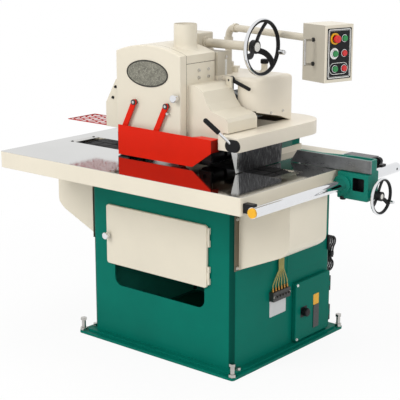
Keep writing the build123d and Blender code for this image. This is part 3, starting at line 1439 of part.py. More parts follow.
control_arm.part.label = "control_arm"
export_step(control_arm.part, "parts/control_arm.step")

# Control box at the end of the arm
arm_plane = Plane(origin=(arm_x, arm_y, 0), x_dir=(arm_dir[0], arm_dir[1], 0), z_dir=(0, 0, 1))
front = arm_reach + box_depth
box_y = (-box_width / 2, box_width / 2)
box_z = (box_bottom, box_bottom + box_height)
left_y = box_y[0] + 50.0
right_y = box_y[0] + 99.0
row_z = (box_bottom + 181.0, box_bottom + 120.0, box_bottom + 57.0)
spots = [(left_y, row_z[0]), (right_y, row_z[0]), (left_y, row_z[1]), (right_y, row_z[1])]
spots += [(left_y, row_z[2]), (right_y, row_z[2])]
with BuildPart(arm_plane) as control_box:
    block((arm_reach, front), box_y, box_z)
    fillet(control_box.edges().filter_by(Axis.Z), 5)
    block(
        (arm_reach + box_sheet, front - box_sheet),
        (box_y[0] + box_sheet, box_y[1] - box_sheet),
        (box_z[0] + box_sheet, box_z[1] - box_sheet),
        Mode.SUBTRACT,
    )
    for spot in spots:
        rod_x((front - box_sheet, front), spot[0], spot[1], stem_radius + running, Mode.SUBTRACT)
control_box.part.label = "control_box"
export_step(control_box.part, "parts/control_box.step")

# Two U-shaped pull handles on the sides of the box
handle_x = arm_reach + box_depth / 2
handle_z = (box_bottom + 74.0, box_bottom + 174.0)
handle_out = box_width / 2 + 46.0
with BuildPart(arm_plane) as box_handles:
    for side in (-1, 1):
        bar = side * handle_out
        rod_z(handle_x, bar, handle_z, 5)
        for z in handle_z:
            rod_y(handle_x, sorted((side * box_width / 2, bar)), z, 5)
            rod_y(handle_x, sorted((side * box_width / 2, side * (box_width / 2 + 5))), z, 9)
            with Locations((handle_x, bar, z)):
                Sphere(5)
box_handles.part.label = "box_handles"
export_step(box_handles.part, "parts/box_handles.step")


# Push buttons: stem through the panel, inner collar and cap
def button(spot, cap_radius, cap_start, cap_end):
    rod_x((front - 16, front + cap_start), spot[0], spot[1], stem_radius)
    rod_x((front - 16, front - 12), spot[0], spot[1], stem_radius + 3)
    rod_x((front + cap_start, front + cap_end), spot[0], spot[1], cap_radius)


with BuildPart(arm_plane) as emergency_stop:
    button(spots[0], 16, 14, 27)
    fillet(emergency_stop.faces().sort_by(Axis.X)[-1].edges(), 5)
emergency_stop.part.label = "emergency_stop"
export_step(emergency_stop.part, "parts/emergency_stop.step")

with BuildPart(arm_plane) as lift_button:
    button(spots[1], 12, 7, 14)
lift_button.part.label = "lift_button"
export_step(lift_button.part, "parts/lift_button.step")

with BuildPart(arm_plane) as saw_start_button:
    button(spots[2], 12, 7, 14)
saw_start_button.part.label = "saw_start_button"
export_step(saw_start_button.part, "parts/saw_start_button.step")

with BuildPart(arm_plane) as saw_stop_button:
    button(spots[3], 12, 7, 14)
saw_stop_button.part.label = "saw_stop_button"
export_step(saw_stop_button.part, "parts/saw_stop_button.step")

with BuildPart(arm_plane) as feed_start_button:
    button(spots[4], 12, 7, 14)
feed_start_button.part.label = "feed_start_button"
export_step(feed_start_button.part, "parts/feed_start_button.step")

with BuildPart(arm_plane) as feed_stop_button:
    button(spots[5], 12, 7, 14)
feed_stop_button.part.label = "feed_stop_button"
export_step(feed_stop_button.part, "parts/feed_stop_button.step")

# Gland of the mains lead in the cabinet's far wall
gland_end = cabinet_y + 34.0
with BuildPart() as cable_gland:
    hex_y(gland_x, (cabinet_y, cabinet_y + 7), gland_z, 26)
    with Locations(Plane(origin=(gland_x, cabinet_y + 7, gland_z), z_dir=(0, 1, 0))):
        Cone(11, lead_radius + 1.5, gland_end - cabinet_y - 7, align=(Align.CENTER, Align.CENTER, Align.MIN))
    rod_y(gland_x, (inner_y - 9, cabinet_y), gland_z, gland_radius - slide)
cable_gland.part.label = "cable_gland"
export_step(cable_gland.part, "parts/cable_gland.step")

# Mains lead: folded into a hank drawn in at the waist, one tube of lines and arcs
hank_y = cabinet_y + 95.0
fold_high = gland_z - fold_radius
fold_low = hank_waist - waist_run / 2 - waist_step
waist_high = hank_waist + waist_run / 2
waist_low = hank_waist - waist_run / 2


def sway(start, end):
    half = Vector(*start) + (Vector(*end) - Vector(*start)) * 0.5
    side = Vector(end[0] - start[0], end[1] - start[1], 0)
    rise = end[2] - start[2]
    bow = (rise * rise + side.length * side.length) / (4 * side.length)
    part_turn = asin(abs(rise) / (2 * bow)) / 2
    shift = side.normalized() * (bow * (1 - cos(part_turn)))
    lift = Vector(0, 0, (1 if rise > 0 else -1) * bow * sin(part_turn))
    first = Vector(*start) + shift + lift
    second = Vector(*end) - shift - lift
    ThreePointArc(start, first, half)
    ThreePointArc(half, second, end)


def fold(start, end, crown):
    middle = ((start[1] + end[1]) / 2, (start[2] + end[2]) / 2)
    radius = abs(end[1] - start[1]) / 2
    slant = radius * sin(radians(45))
    top = (start[0], middle[0], middle[1] + crown * radius)
    lead_side = 1 if start[1] > middle[0] else -1
    ThreePointArc(start, (start[0], middle[0] + lead_side * slant, middle[1] + crown * slant), top)
    ThreePointArc(top, (start[0], middle[0] - lead_side * slant, middle[1] + crown * slant), end)


with BuildPart() as mains_lead:
    with BuildLine() as lead:
        near = hank_y - fold_radius
        far = hank_y + fold_radius
        x = gland_x
        Line((x, gland_end, gland_z), (x, hank_y, gland_z))
        slant = fold_radius * sin(radians(45))
        ThreePointArc(
            (x, hank_y, gland_z),
            (x, hank_y + slant, fold_high + slant),
            (x, far, fold_high),
        )
        for i in range(hank_loops):
            ahead = x + hank_pitch
            sway((x, far, fold_high), (x, hank_y + waist_half, waist_high))
            Line((x, hank_y + waist_half, waist_high), (x, hank_y + waist_half, waist_low))
            sway((x, hank_y + waist_half, waist_low), (x, far, fold_low))
            fold((x, far, fold_low), (x, near, fold_low), -1)
            sway((x, near, fold_low), (x, hank_y - waist_half, waist_low))
            sway((x, hank_y - waist_half, waist_low), (ahead, hank_y - waist_half, waist_high))
            sway((ahead, hank_y - waist_half, waist_high), (ahead, near, fold_high))
            fold((ahead, near, fold_high), (ahead, far, fold_high), 1)
            x = ahead
        sway((x, far, fold_high), (x, hank_y + waist_half, waist_high))
        Line((x, hank_y + waist_half, waist_high), (x, hank_y + waist_half, waist_low))
    with BuildSketch(Plane(origin=(gland_x, gland_end, gland_z), z_dir=(0, 1, 0))):
        Circle(lead_radius)
    sweep(path=lead.wires()[0])
mains_lead.part.label = "mains_lead"
export_step(mains_lead.part, "parts/mains_lead.step")

# Length of the lead and its least gap to itself, on points along the path
lead_path = lead.wires()[0]
count = int(lead_path.length / 2)
points = [lead_path @ (i / count) for i in range(count + 1)]
least = min(
    (points[i] - points[j]).length
    for i in range(count + 1)
    for j in range(i + 16, count + 1)
)
print("lead length", round(lead_path.length), "least gap", round(least - 2 * lead_radius, 2))
print("lead volume ratio", round(mains_lead.part.volume / (pi * lead_radius**2 * lead_path.length), 4))
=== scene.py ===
from math import cos, pi, radians, sin

import bmesh
import bpy
from mathutils import Matrix, Vector


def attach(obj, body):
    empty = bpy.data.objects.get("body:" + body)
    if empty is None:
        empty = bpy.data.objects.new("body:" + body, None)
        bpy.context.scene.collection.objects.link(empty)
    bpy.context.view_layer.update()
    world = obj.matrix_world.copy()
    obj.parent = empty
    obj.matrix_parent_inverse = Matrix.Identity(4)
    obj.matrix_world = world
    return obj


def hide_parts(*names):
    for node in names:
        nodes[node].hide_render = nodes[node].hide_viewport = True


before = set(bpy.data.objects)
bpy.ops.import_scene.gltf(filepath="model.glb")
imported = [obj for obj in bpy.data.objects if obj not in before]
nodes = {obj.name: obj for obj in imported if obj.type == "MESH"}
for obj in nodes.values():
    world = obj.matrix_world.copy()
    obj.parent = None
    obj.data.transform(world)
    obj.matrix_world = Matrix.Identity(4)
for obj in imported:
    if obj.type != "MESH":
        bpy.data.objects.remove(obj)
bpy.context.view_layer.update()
scene = bpy.context.scene
scene.view_settings.view_transform = "Standard"
print("frame loaded:", len(nodes), "nodes")

# Camera at the photograph's viewing angle
shot = {"place": (3.330187, -4.064592, 1.966064), "yaw": 39.941, "pitch": 14.072, "lens": 103.586}
cameraData = bpy.data.cameras.new("photoCamera")
cameraData.sensor_width = 36.0
cameraData.lens = shot["lens"]
cameraData.clip_end = 80.0
camera = bpy.data.objects.new("photoCamera", cameraData)
camera.location = shot["place"]
camera.rotation_euler = (radians(90 - shot["pitch"]), 0.0, radians(shot["yaw"]))
scene.collection.objects.link(camera)
scene.camera = camera


def put(tree, kind, props=None, sockets=None):
    node = tree.nodes.new(kind)
    for key, value in (props or {}).items():
        setattr(node, key, value)
    for key, value in (sockets or {}).items():
        if isinstance(value, bpy.types.NodeSocket):
            tree.links.new(value, node.inputs[key])
        else:
            node.inputs[key].default_value = value
    return node


def sums(tree, operation, a, b=0.0):
    return put(tree, "ShaderNodeMath", {"operation": operation}, {0: a, 1: b}).outputs[0]


def mixValue(tree, share, a, b):
    if not isinstance(a, bpy.types.NodeSocket) and a == b:
        return a
    return put(tree, "ShaderNodeMix", {"data_type": "FLOAT"}, {0: share, 2: a, 3: b}).outputs[0]


def mixColour(tree, share, a, b):
    return put(tree, "ShaderNodeMix", {"data_type": "RGBA"}, {0: share, 6: a, 7: b}).outputs[2]


def ramp(tree, value, low, high, outLow=0.0, outHigh=1.0):
    sockets = {"Value": value, "From Min": low, "From Max": high, "To Min": outLow, "To Max": outHigh}
    return put(tree, "ShaderNodeMapRange", {}, sockets).outputs[0]


def tone(colour, gain=1.0):  # screen colour 0 to 255 to the renderer's linear colour
    linear = []
    for part in colour:
        c = part / 255
        c = c / 12.92 if c <= 0.04045 else ((c + 0.055) / 1.055) ** 2.4
        linear.append(min(1.0, c * gain))
    return (*linear, 1.0)


def seenRays(tree):  # camera, glossy and transmission rays see the white studio
    path = put(tree, "ShaderNodeLightPath")
    seen = sums(tree, "MAXIMUM", path.outputs["Is Camera Ray"], path.outputs["Is Glossy Ray"])
    return sums(tree, "MAXIMUM", seen, path.outputs["Is Transmission Ray"])


# White studio with a pale floor
studio = {"ambient": 0.50, "floorTone": 0.88, "floorGlow": 0.90, "floorSize": 16.0, "floorLevel": -0.001,
          "glowFrom": 0.9, "glowFull": 2.6}
world = bpy.data.worlds.new("studio")
world.use_nodes = True
scene.world = world
worldTree = world.node_tree
worldTree.nodes.clear()
soft = put(worldTree, "ShaderNodeBackground", {}, {"Strength": studio["ambient"], "Color": (1, 1, 1, 1)})
white = put(worldTree, "ShaderNodeBackground", {}, {"Strength": 1.0, "Color": (1, 1, 1, 1)})
either = put(worldTree, "ShaderNodeMixShader", {},
             {0: seenRays(worldTree), 1: soft.outputs[0], 2: white.outputs[0]})
put(worldTree, "ShaderNodeOutputWorld", {}, {"Surface": either.outputs[0]})

floorMaterial = bpy.data.materials.new("paleFloor")
floorMaterial.use_nodes = True
floorTree = floorMaterial.node_tree
floorTree.nodes.clear()
matt = put(floorTree, "ShaderNodeBsdfDiffuse", {}, {"Color": (*[studio["floorTone"]] * 3, 1.0)})
glow = put(floorTree, "ShaderNodeEmission", {}, {"Color": (1, 1, 1, 1), "Strength": 1.0})
spot = put(floorTree, "ShaderNodeTexCoord").outputs["Object"]
far = put(floorTree, "ShaderNodeVectorMath", {"operation": "LENGTH"}, {0: spot}).outputs["Value"]
share = ramp(floorTree, far, studio["glowFrom"], studio["glowFull"], studio["floorGlow"], 1.0)
share = sums(floorTree, "MULTIPLY", share, seenRays(floorTree))
blend = put(floorTree, "ShaderNodeMixShader", {}, {0: share, 1: matt.outputs[0], 2: glow.outputs[0]})
put(floorTree, "ShaderNodeOutputMaterial", {}, {"Surface": blend.outputs[0]})
half, level = studio["floorSize"] / 2, studio["floorLevel"]
floorMesh = bpy.data.meshes.new("paleFloor")
floorCorners = [(-half, -half, level), (half, -half, level), (half, half, level), (-half, half, level)]
floorMesh.from_pydata(floorCorners, [], [(0, 1, 2, 3)])
floorMesh.materials.append(floorMaterial)
paleFloor = bpy.data.objects.new("paleFloor", floorMesh)
scene.collection.objects.link(paleFloor)

lamps = {  # place, aim, width, power
    "keyLamp": ((-2.2, -5.6, 4.4), (0.0, -0.1, 0.8), 3.4, 235.0),
    "fillLamp": ((3.4, -4.4, 2.6), (0.2, 0.0, 0.9), 2.4, 45.0),
    "sideLamp": ((5.4, -0.6, 3.4), (0.2, 0.0, 0.8), 3.0, 70.0),
    "topLamp": ((0.4, 0.6, 5.2), (0.0, 0.0, 0.9), 3.2, 70.0),
}
for name, (place, aim, width, power) in lamps.items():
    lampData = bpy.data.lights.new(name, "AREA")
    lampData.shape = "DISK"
    lampData.size = width
    lampData.energy = power
    lamp = bpy.data.objects.new(name, lampData)
    lamp.location = place
    lamp.rotation_euler = (Vector(aim) - Vector(place)).to_track_quat("-Z", "Y").to_euler()
    scene.collection.objects.link(lamp)
    lamp.visible_camera = False
    lamp.visible_glossy = False
print("studio ready")

# Finishes: colour, broad variation, grain, bump depth and roughness range. Some are lighter or darker copies
# of a paint that serve as painted light and painted shade
paints = {  # what finishes of one kind share
    "beige": {"vary": 0.035, "patch": 2.6, "grain": 420, "depth": 0.10},
    "green": {"vary": 0.09, "patch": 3.1, "grain": 420, "depth": 0.10},
    "red": {"vary": 0.07, "patch": 5.0, "grain": 420, "depth": 0.08},
    # painted shade: what the browns that stand for shade share
    "paintedShades": {"vary": 0.10, "patch": 6.0, "grain": 420, "depth": 0.08, "rough": (0.45, 0.60)},
}
finishes = {
    "beige": {**paints["beige"], "colour": (216, 208, 190), "rough": (0.33, 0.47), "edge": (238, 232, 219)},
    # painted light: lighter copy of the beige for the overarm, to brighten its shaded faces
    "litBeige": {**paints["beige"], "colour": (230, 221, 204), "rough": (0.33, 0.47),
                  "edge": (243, 238, 226)},
    # painted shade: darker beige for the control box's near side
    "shadeBeige": {**paints["beige"], "colour": (172, 165, 150), "rough": (0.36, 0.50)},
    # painted shade: darker copy of the beige for the control arm, the lift gearbox and the post top
    "armShadeBeige": {**paints["beige"], "colour": (194, 186, 169), "rough": (0.36, 0.50),
                 "edge": (222, 215, 200)},
    "green": {**paints["green"], "colour": (5, 107, 92), "rough": (0.30, 0.44), "edge": (40, 128, 110)},
    # painted dark reflection: darker green for the cabinet's rounded corners
    "darkReflectionGreen": {**paints["green"], "colour": (2, 68, 58), "rough": (0.30, 0.44)},
    "red": {**paints["red"], "colour": (214, 34, 12), "rough": (0.28, 0.42), "edge": (228, 84, 62)},
    # painted shade: darker red for the side guard's return
    "shadeRed": {**paints["red"], "colour": (128, 20, 9), "rough": (0.34, 0.48)},
    # painted shade: darker copy of the guard red for the thin mesh wires
    "meshShadeRed": {**paints["red"], "colour": (176, 30, 22), "rough": (0.34, 0.48)},
    # painted light: a much lighter copy of the green, to lift the cabinet's shaded interior
    "insideLightGreen": {"colour": (56, 172, 150), "vary": 0.12, "patch": 4.0, "grain": 300, "depth": 0.10,
                    "rough": (0.5, 0.7)},
    "groundIron": {"colour": (198, 198, 196), "vary": 0.05, "patch": 2.2, "grain": 900, "depth": 0.03,
                   "rough": (0.03, 0.08), "metal": 1.0, "stretch": (0.02, 1.0, 1.0)},
    "steel": {"colour": (206, 206, 204), "vary": 0.06, "patch": 14.0, "grain": 700, "depth": 0.05,
              "rough": (0.16, 0.30), "metal": 1.0},
    "nickel": {"colour": (214, 212, 206), "vary": 0.06, "patch": 22.0, "grain": 600, "depth": 0.05,
               "rough": (0.18, 0.32), "metal": 1.0},
    "zinc": {"colour": (186, 184, 180), "vary": 0.14, "patch": 34.0, "grain": 600, "depth": 0.05,
             "rough": (0.10, 0.24), "metal": 1.0},
    "chrome": {"colour": (226, 227, 229), "vary": 0.03, "patch": 9.0, "grain": 500, "depth": 0.015,
               "rough": (0.03, 0.10), "metal": 1.0},
    "darkIron": {"colour": (74, 73, 72), "vary": 0.16, "patch": 12.0, "grain": 520, "depth": 0.2,
                 "rough": (0.38, 0.58), "metal": 0.75},
    "blackSteel": {"colour": (50, 50, 52), "vary": 0.12, "patch": 9.0, "grain": 800, "depth": 0.08,
                   "rough": (0.22, 0.38), "metal": 0.85, "stretch": (0.03, 1.0, 1.0)},
    "fingerSteel": {"colour": (78, 78, 80), "vary": 0.30, "patch": 9.0, "grain": 420, "depth": 0.16,
                    "rough": (0.28, 0.46), "metal": 0.9, "stretch": (1.0, 1.0, 0.05),
                    "fleck": (168, 168, 170)},
    "faceSteel": {"colour": (126, 128, 130), "vary": 0.22, "patch": 16.0, "grain": 700, "depth": 0.10,
                  "rough": (0.24, 0.44), "metal": 0.85, "stretch": (0.05, 1.0, 1.0)},
    "shadeBrown": {**paints["paintedShades"], "colour": (92, 82, 64)},
    # painted shade: brown for the walls of the overarm's hollow, and a darker brown for its floor
    "recessShade": {**paints["paintedShades"], "colour": (150, 134, 104)},
    "recessDeepShade": {**paints["paintedShades"], "colour": (46, 39, 27)},
    "tagGrey": {"colour": (198, 199, 199), "vary": 0.04, "patch": 24.0, "grain": 900, "depth": 0.04,
                "rough": (0.36, 0.50)},
    "plateGrey": {"colour": (92, 90, 92), "vary": 0.10, "patch": 14.0, "grain": 600, "depth": 0.10,
                  "rough": (0.30, 0.46), "metal": 0.4},
    "chainBlack": {"colour": (20, 20, 21), "vary": 0.20, "patch": 14.0, "grain": 520, "depth": 0.18,
                   "rough": (0.46, 0.66), "metal": 0.3},
    "blackPlastic": {"colour": (21, 21, 23), "vary": 0.16, "patch": 20.0, "grain": 1300, "depth": 0.10,
                     "rough": (0.32, 0.50)},
    "redPlastic": {"colour": (200, 26, 28), "vary": 0.06, "patch": 30.0, "grain": 1200, "depth": 0.04,
                   "rough": (0.22, 0.34)},
    "greenPlastic": {"colour": (20, 128, 62), "vary": 0.07, "patch": 30.0, "grain": 1200, "depth": 0.04,
                     "rough": (0.22, 0.34)},
    "yellowPlastic": {"colour": (228, 168, 20), "vary": 0.07, "patch": 24.0, "grain": 1000, "depth": 0.06,
                      "rough": (0.30, 0.45)},
    "whitePlate": {"colour": (232, 232, 228), "vary": 0.04, "patch": 24.0, "grain": 900, "depth": 0.04,
                   "rough": (0.32, 0.46)},
    "brass": {"colour": (190, 142, 78), "vary": 0.12, "patch": 40.0, "grain": 800, "depth": 0.08,
              "rough": (0.24, 0.40), "metal": 1.0},
    "oilTube": {"colour": (158, 148, 84), "vary": 0.10, "patch": 26.0, "grain": 900, "depth": 0.04,
                "rough": (0.22, 0.36)},
    "darkGlass": {"colour": (26, 31, 31), "vary": 0.15, "patch": 16.0, "grain": 500, "depth": 0.01,
                  "rough": (0.04, 0.10)},
    "paleTube": {"colour": (150, 154, 150), "vary": 0.08, "patch": 20.0, "grain": 500, "depth": 0.02,
                 "rough": (0.08, 0.16)},
    "motorGrey": {"colour": (120, 123, 124), "vary": 0.08, "patch": 6.0, "grain": 420, "depth": 0.12,
                  "rough": (0.38, 0.54)},
    "rubber": {"colour": (24, 24, 25), "vary": 0.14, "patch": 30.0, "grain": 1100, "depth": 0.10,
               "rough": (0.58, 0.78)},
    "pewter": {"colour": (124, 122, 110), "vary": 0.40, "patch": 42.0, "grain": 190, "depth": 0.45,
               "rough": (0.30, 0.52), "metal": 0.55, "fleck": (178, 176, 162)},
    "darkPewter": {"colour": (66, 65, 60), "vary": 0.18, "patch": 40.0, "grain": 300, "depth": 0.2,
                   "rough": (0.28, 0.42), "metal": 0.7},
}


def layer(tree, point, name):
    look = finishes[name]
    broad = put(tree, "ShaderNodeTexNoise", {},
                {"Vector": point, "Scale": look["patch"], "Detail": 5.0, "Roughness": 0.62}).outputs[0]
    along = put(tree, "ShaderNodeMapping", {},
                {"Vector": point, "Scale": look.get("stretch", (1, 1, 1))}).outputs[0]
    grain = put(tree, "ShaderNodeTexNoise", {},
                {"Vector": along, "Scale": look["grain"], "Detail": 3.0, "Roughness": 0.55}).outputs[0]
    dark = tone(look["colour"], 1.0 - look["vary"])
    light = tone(look["colour"], 1.0 + 0.7 * look["vary"])
    colour = mixColour(tree, ramp(tree, broad, 0.32, 0.68), dark, light)
    if "fleck" in look:
        colour = mixColour(tree, ramp(tree, grain, 0.48, 0.72, 0.0, 0.8), colour, tone(look["fleck"]))
    sheen = sums(tree, "ADD", sums(tree, "MULTIPLY", grain, 0.45), sums(tree, "MULTIPLY", broad, 0.55))
    rough = mixValue(tree, ramp(tree, sheen, 0.36, 0.64), *look["rough"])
    height = sums(tree, "MULTIPLY", grain, look["depth"])
    return {"colour": colour, "rough": rough, "metal": look.get("metal", 0.0), "height": height}


def finishMaterial(name, base, overlays=(), rounding=0.0012, coat=0.0, shine=0.5):
    material = bpy.data.materials.new(name)
    material.use_nodes = True
    tree = material.node_tree
    tree.nodes.clear()
    point = put(tree, "ShaderNodeTexCoord").outputs["Object"]
    out = layer(tree, point, base)
    eased = put(tree, "ShaderNodeBevel", {"samples": 4}, {"Radius": rounding}).outputs[0]
    if "edge" in finishes[base]:  # paint rubbed thin along the edges
        facing = put(tree, "ShaderNodeNewGeometry").outputs["Normal"]
        turn = put(tree, "ShaderNodeVectorMath", {"operation": "DOT_PRODUCT"},
                   {0: eased, 1: facing}).outputs["Value"]
        worn = put(tree, "ShaderNodeTexNoise", {}, {"Vector": point, "Scale": 38.0, "Detail": 3.0}).outputs[0]
        rub = sums(tree, "MULTIPLY", ramp(tree, turn, 0.985, 0.85), ramp(tree, worn, 0.40, 0.62, 0.0, 0.55))
        out["colour"] = mixColour(tree, rub, out["colour"], tone(finishes[base]["edge"]))
    for mask, other in overlays:
        top = layer(tree, point, other)
        spread = mask(tree, point)
        for key in out:
            mixer = mixColour if key == "colour" else mixValue
            out[key] = mixer(tree, spread, out[key], top[key])
    bump = put(tree, "ShaderNodeBump", {}, {"Height": out["height"], "Distance": 0.0012, "Strength": 0.7,
                                            "Normal": eased}).outputs[0]
    shader = put(tree, "ShaderNodeBsdfPrincipled", {},
                 {"Base Color": out["colour"], "Roughness": out["rough"], "Metallic": out["metal"],
                  "Normal": bump, "Coat Weight": coat, "Coat Roughness": 0.12, "Specular IOR Level": shine})
    put(tree, "ShaderNodeOutputMaterial", {}, {"Surface": shader.outputs[0]})
    return material


# Masks on object coordinates, in metres
def between(tree, value, low, high):
    above = sums(tree, "GREATER_THAN", value, low)
    return sums(tree, "MULTIPLY", above, sums(tree, "LESS_THAN", value, high))


def span(axis, low=-99.0, high=99.0):
    def mask(tree, point):
        value = put(tree, "ShaderNodeSeparateXYZ", {}, {0: point}).outputs["XYZ".index(axis)]
        return between(tree, value, low, high)
    return mask


def both(*masks):
    def mask(tree, point):
        result = masks[0](tree, point)
        for each in masks[1:]:
            result = sums(tree, "MULTIPLY", result, each(tree, point))
        return result
    return mask


def beyond(axis, reach):  # both ends of an axis
    def mask(tree, point):
        value = put(tree, "ShaderNodeSeparateXYZ", {}, {0: point}).outputs["XYZ".index(axis)]
        return sums(tree, "GREATER_THAN", sums(tree, "ABSOLUTE", value), reach)
    return mask


def roundAxis(axis, centre, low, high):  # ring round an axis, by radius
    flat = [0.0 if name == axis else 1.0 for name in "XYZ"]

    def mask(tree, point):
        away = put(tree, "ShaderNodeVectorMath", {"operation": "SUBTRACT"}, {0: point, 1: centre}).outputs[0]
        away = put(tree, "ShaderNodeVectorMath", {"operation": "MULTIPLY"}, {0: away, 1: flat}).outputs[0]
        reach = put(tree, "ShaderNodeVectorMath", {"operation": "LENGTH"}, {0: away}).outputs["Value"]
        return between(tree, reach, low, high)
    return mask


def alongRod(root, tip, low, high):  # part of a rod, as shares of its run
    run = Vector(tip) - Vector(root)

    def mask(tree, point):
        away = put(tree, "ShaderNodeVectorMath", {"operation": "SUBTRACT"}, {0: point, 1: root}).outputs[0]
        reach = put(tree, "ShaderNodeVectorMath", {"operation": "DOT_PRODUCT"},
                    {0: away, 1: tuple(run / run.length_squared)}).outputs["Value"]
        return between(tree, reach, low, high)
    return mask


# Handwheels: radii of the rim and cap, and places along the shaft
liftWheel = {"hub": (0.343, -0.080, 1.397), "rim": 0.1205, "cap": 0.0202, "capFrom": 0.3132,
             "handleFrom": 0.3535, "shaftTo": 0.2905}
fenceWheel = {"hub": (0.912, 0.004, 0.810), "rim": 0.0745, "cap": 0.011, "capFrom": 0.9155,
              "handleFrom": 0.9205, "shaftTo": 0.8855}


def wheelMaterial(name, wheel):  # black wheel with a bright rim, cap, handle and shaft
    rim = roundAxis("X", wheel["hub"], wheel["rim"], 9.0)
    cap = both(span("X", wheel["capFrom"]), roundAxis("X", wheel["hub"], 0.0, wheel["cap"]))
    handle, shaft = span("X", wheel["handleFrom"]), span("X", -9.0, wheel["shaftTo"])
    overlays = [(rim, "chrome"), (cap, "nickel"), (handle, "chrome"), (shaft, "steel")]
    return finishMaterial(name, "blackPlastic", overlays, rounding=0.0008, shine=0.2)


# Where one node wears more than one finish, or carries painted shade or painted light on part of it
leverGrip = alongRod((0.414, -0.382, 1.028), (0.334, -0.450, 1.127), 0.47, 9.0)
leverBoss = both(span("Y", -0.3886, -0.375), roundAxis("Y", (0.422, 0, 1.020), 0.0, 0.041))
pinHeads = span("Y", -9.0, -0.3795)
rearRing = both(pinHeads, roundAxis("Y", (-0.126, 0, 1.150), 0.0062, 0.02))
frontRing = both(pinHeads, roundAxis("Y", (0.062, 0, 1.150), 0.0062, 0.02))
coverBack = span("Y", -0.3375, 9.0)
# painted shade: the head casting below its toe, roller cheeks included, in dark iron
headFoot = span("Z", -9.0, 1.0085)
hoodFoot = span("Z", -9.0, 1.3335)
chainGuardEdge = span("Y", -9.0, -0.336)
nearTop = both(span("Z", 0.8988), span("Y", -9.0, 0.232))
infeedTop = both(span("Z", 0.8988), span("X", 0.54))
# painted reflection: the fingers' near faces in bright steel
nearFinger = span("Y", -9.0, -0.352)
farHalf = span("Y", 0.0)
fittings = span("Z", 0.3125)
sightTube = roundAxis("Z", (0.44, 0.2315, 0), 0.0, 0.005)
# painted shade: the post top wears the darker arm beige
postTop = span("Z", 1.2635)
# painted shade: the open side, back wall and floor of the hollow under the column
openSide = both(span("X", -0.2355, 0.2345), span("Y", -0.108, 0.1405), span("Z", 1.0525, 1.2385))
behindWall = both(span("X", 0.2345, 0.3165), span("Y", -0.0515, 0.1405), span("Z", 1.0525, 1.2385))
recessFloor = both(span("X", -0.2355, 0.3165), span("Y", -0.108, 0.1405), span("Z", 1.0525, 1.0545))
legSides = both(span("Y", 0.055, 0.166), span("Z", 0.9285, 0.9925))
# painted shade: the side guard's return, in the darker red
guardReturn = both(span("X", 0.3262), span("Z", 0.97, 1.0328))
# painted dark reflection: the cabinet's rounded vertical corners
corners = both(beyond("X", 0.403), beyond("Y", 0.355), span("Z", 0.026))
# painted light: the inside of the cabinet, in the lighter green
inside = both(span("X", -0.4185, 0.4185), span("Y", -0.3705, 0.3705), span("Z", 0.022, 0.81))
pocket = both(span("X", 0.7945, 0.8525), span("Y", -0.0365, 0.0025), span("Z", 0.8245, 0.8815))
restPlate = both(span("X", 0.69, 0.84), span("Y", 0.0402, 0.11), span("Z", 0.948))
boxMid, boxSide = (0.6391, -0.0168, 1.40), (0.6598, 0.0579, 1.40)
# painted shade: the control box's near side, dressed in the darker beige
boxNearSide = alongRod(boxMid, boxSide, -9.0, -0.985)
farFeet = alongRod(boxMid, boxSide, 0.99, 1.17)
nearFeet = alongRod(boxMid, boxSide, -1.17, -0.99)
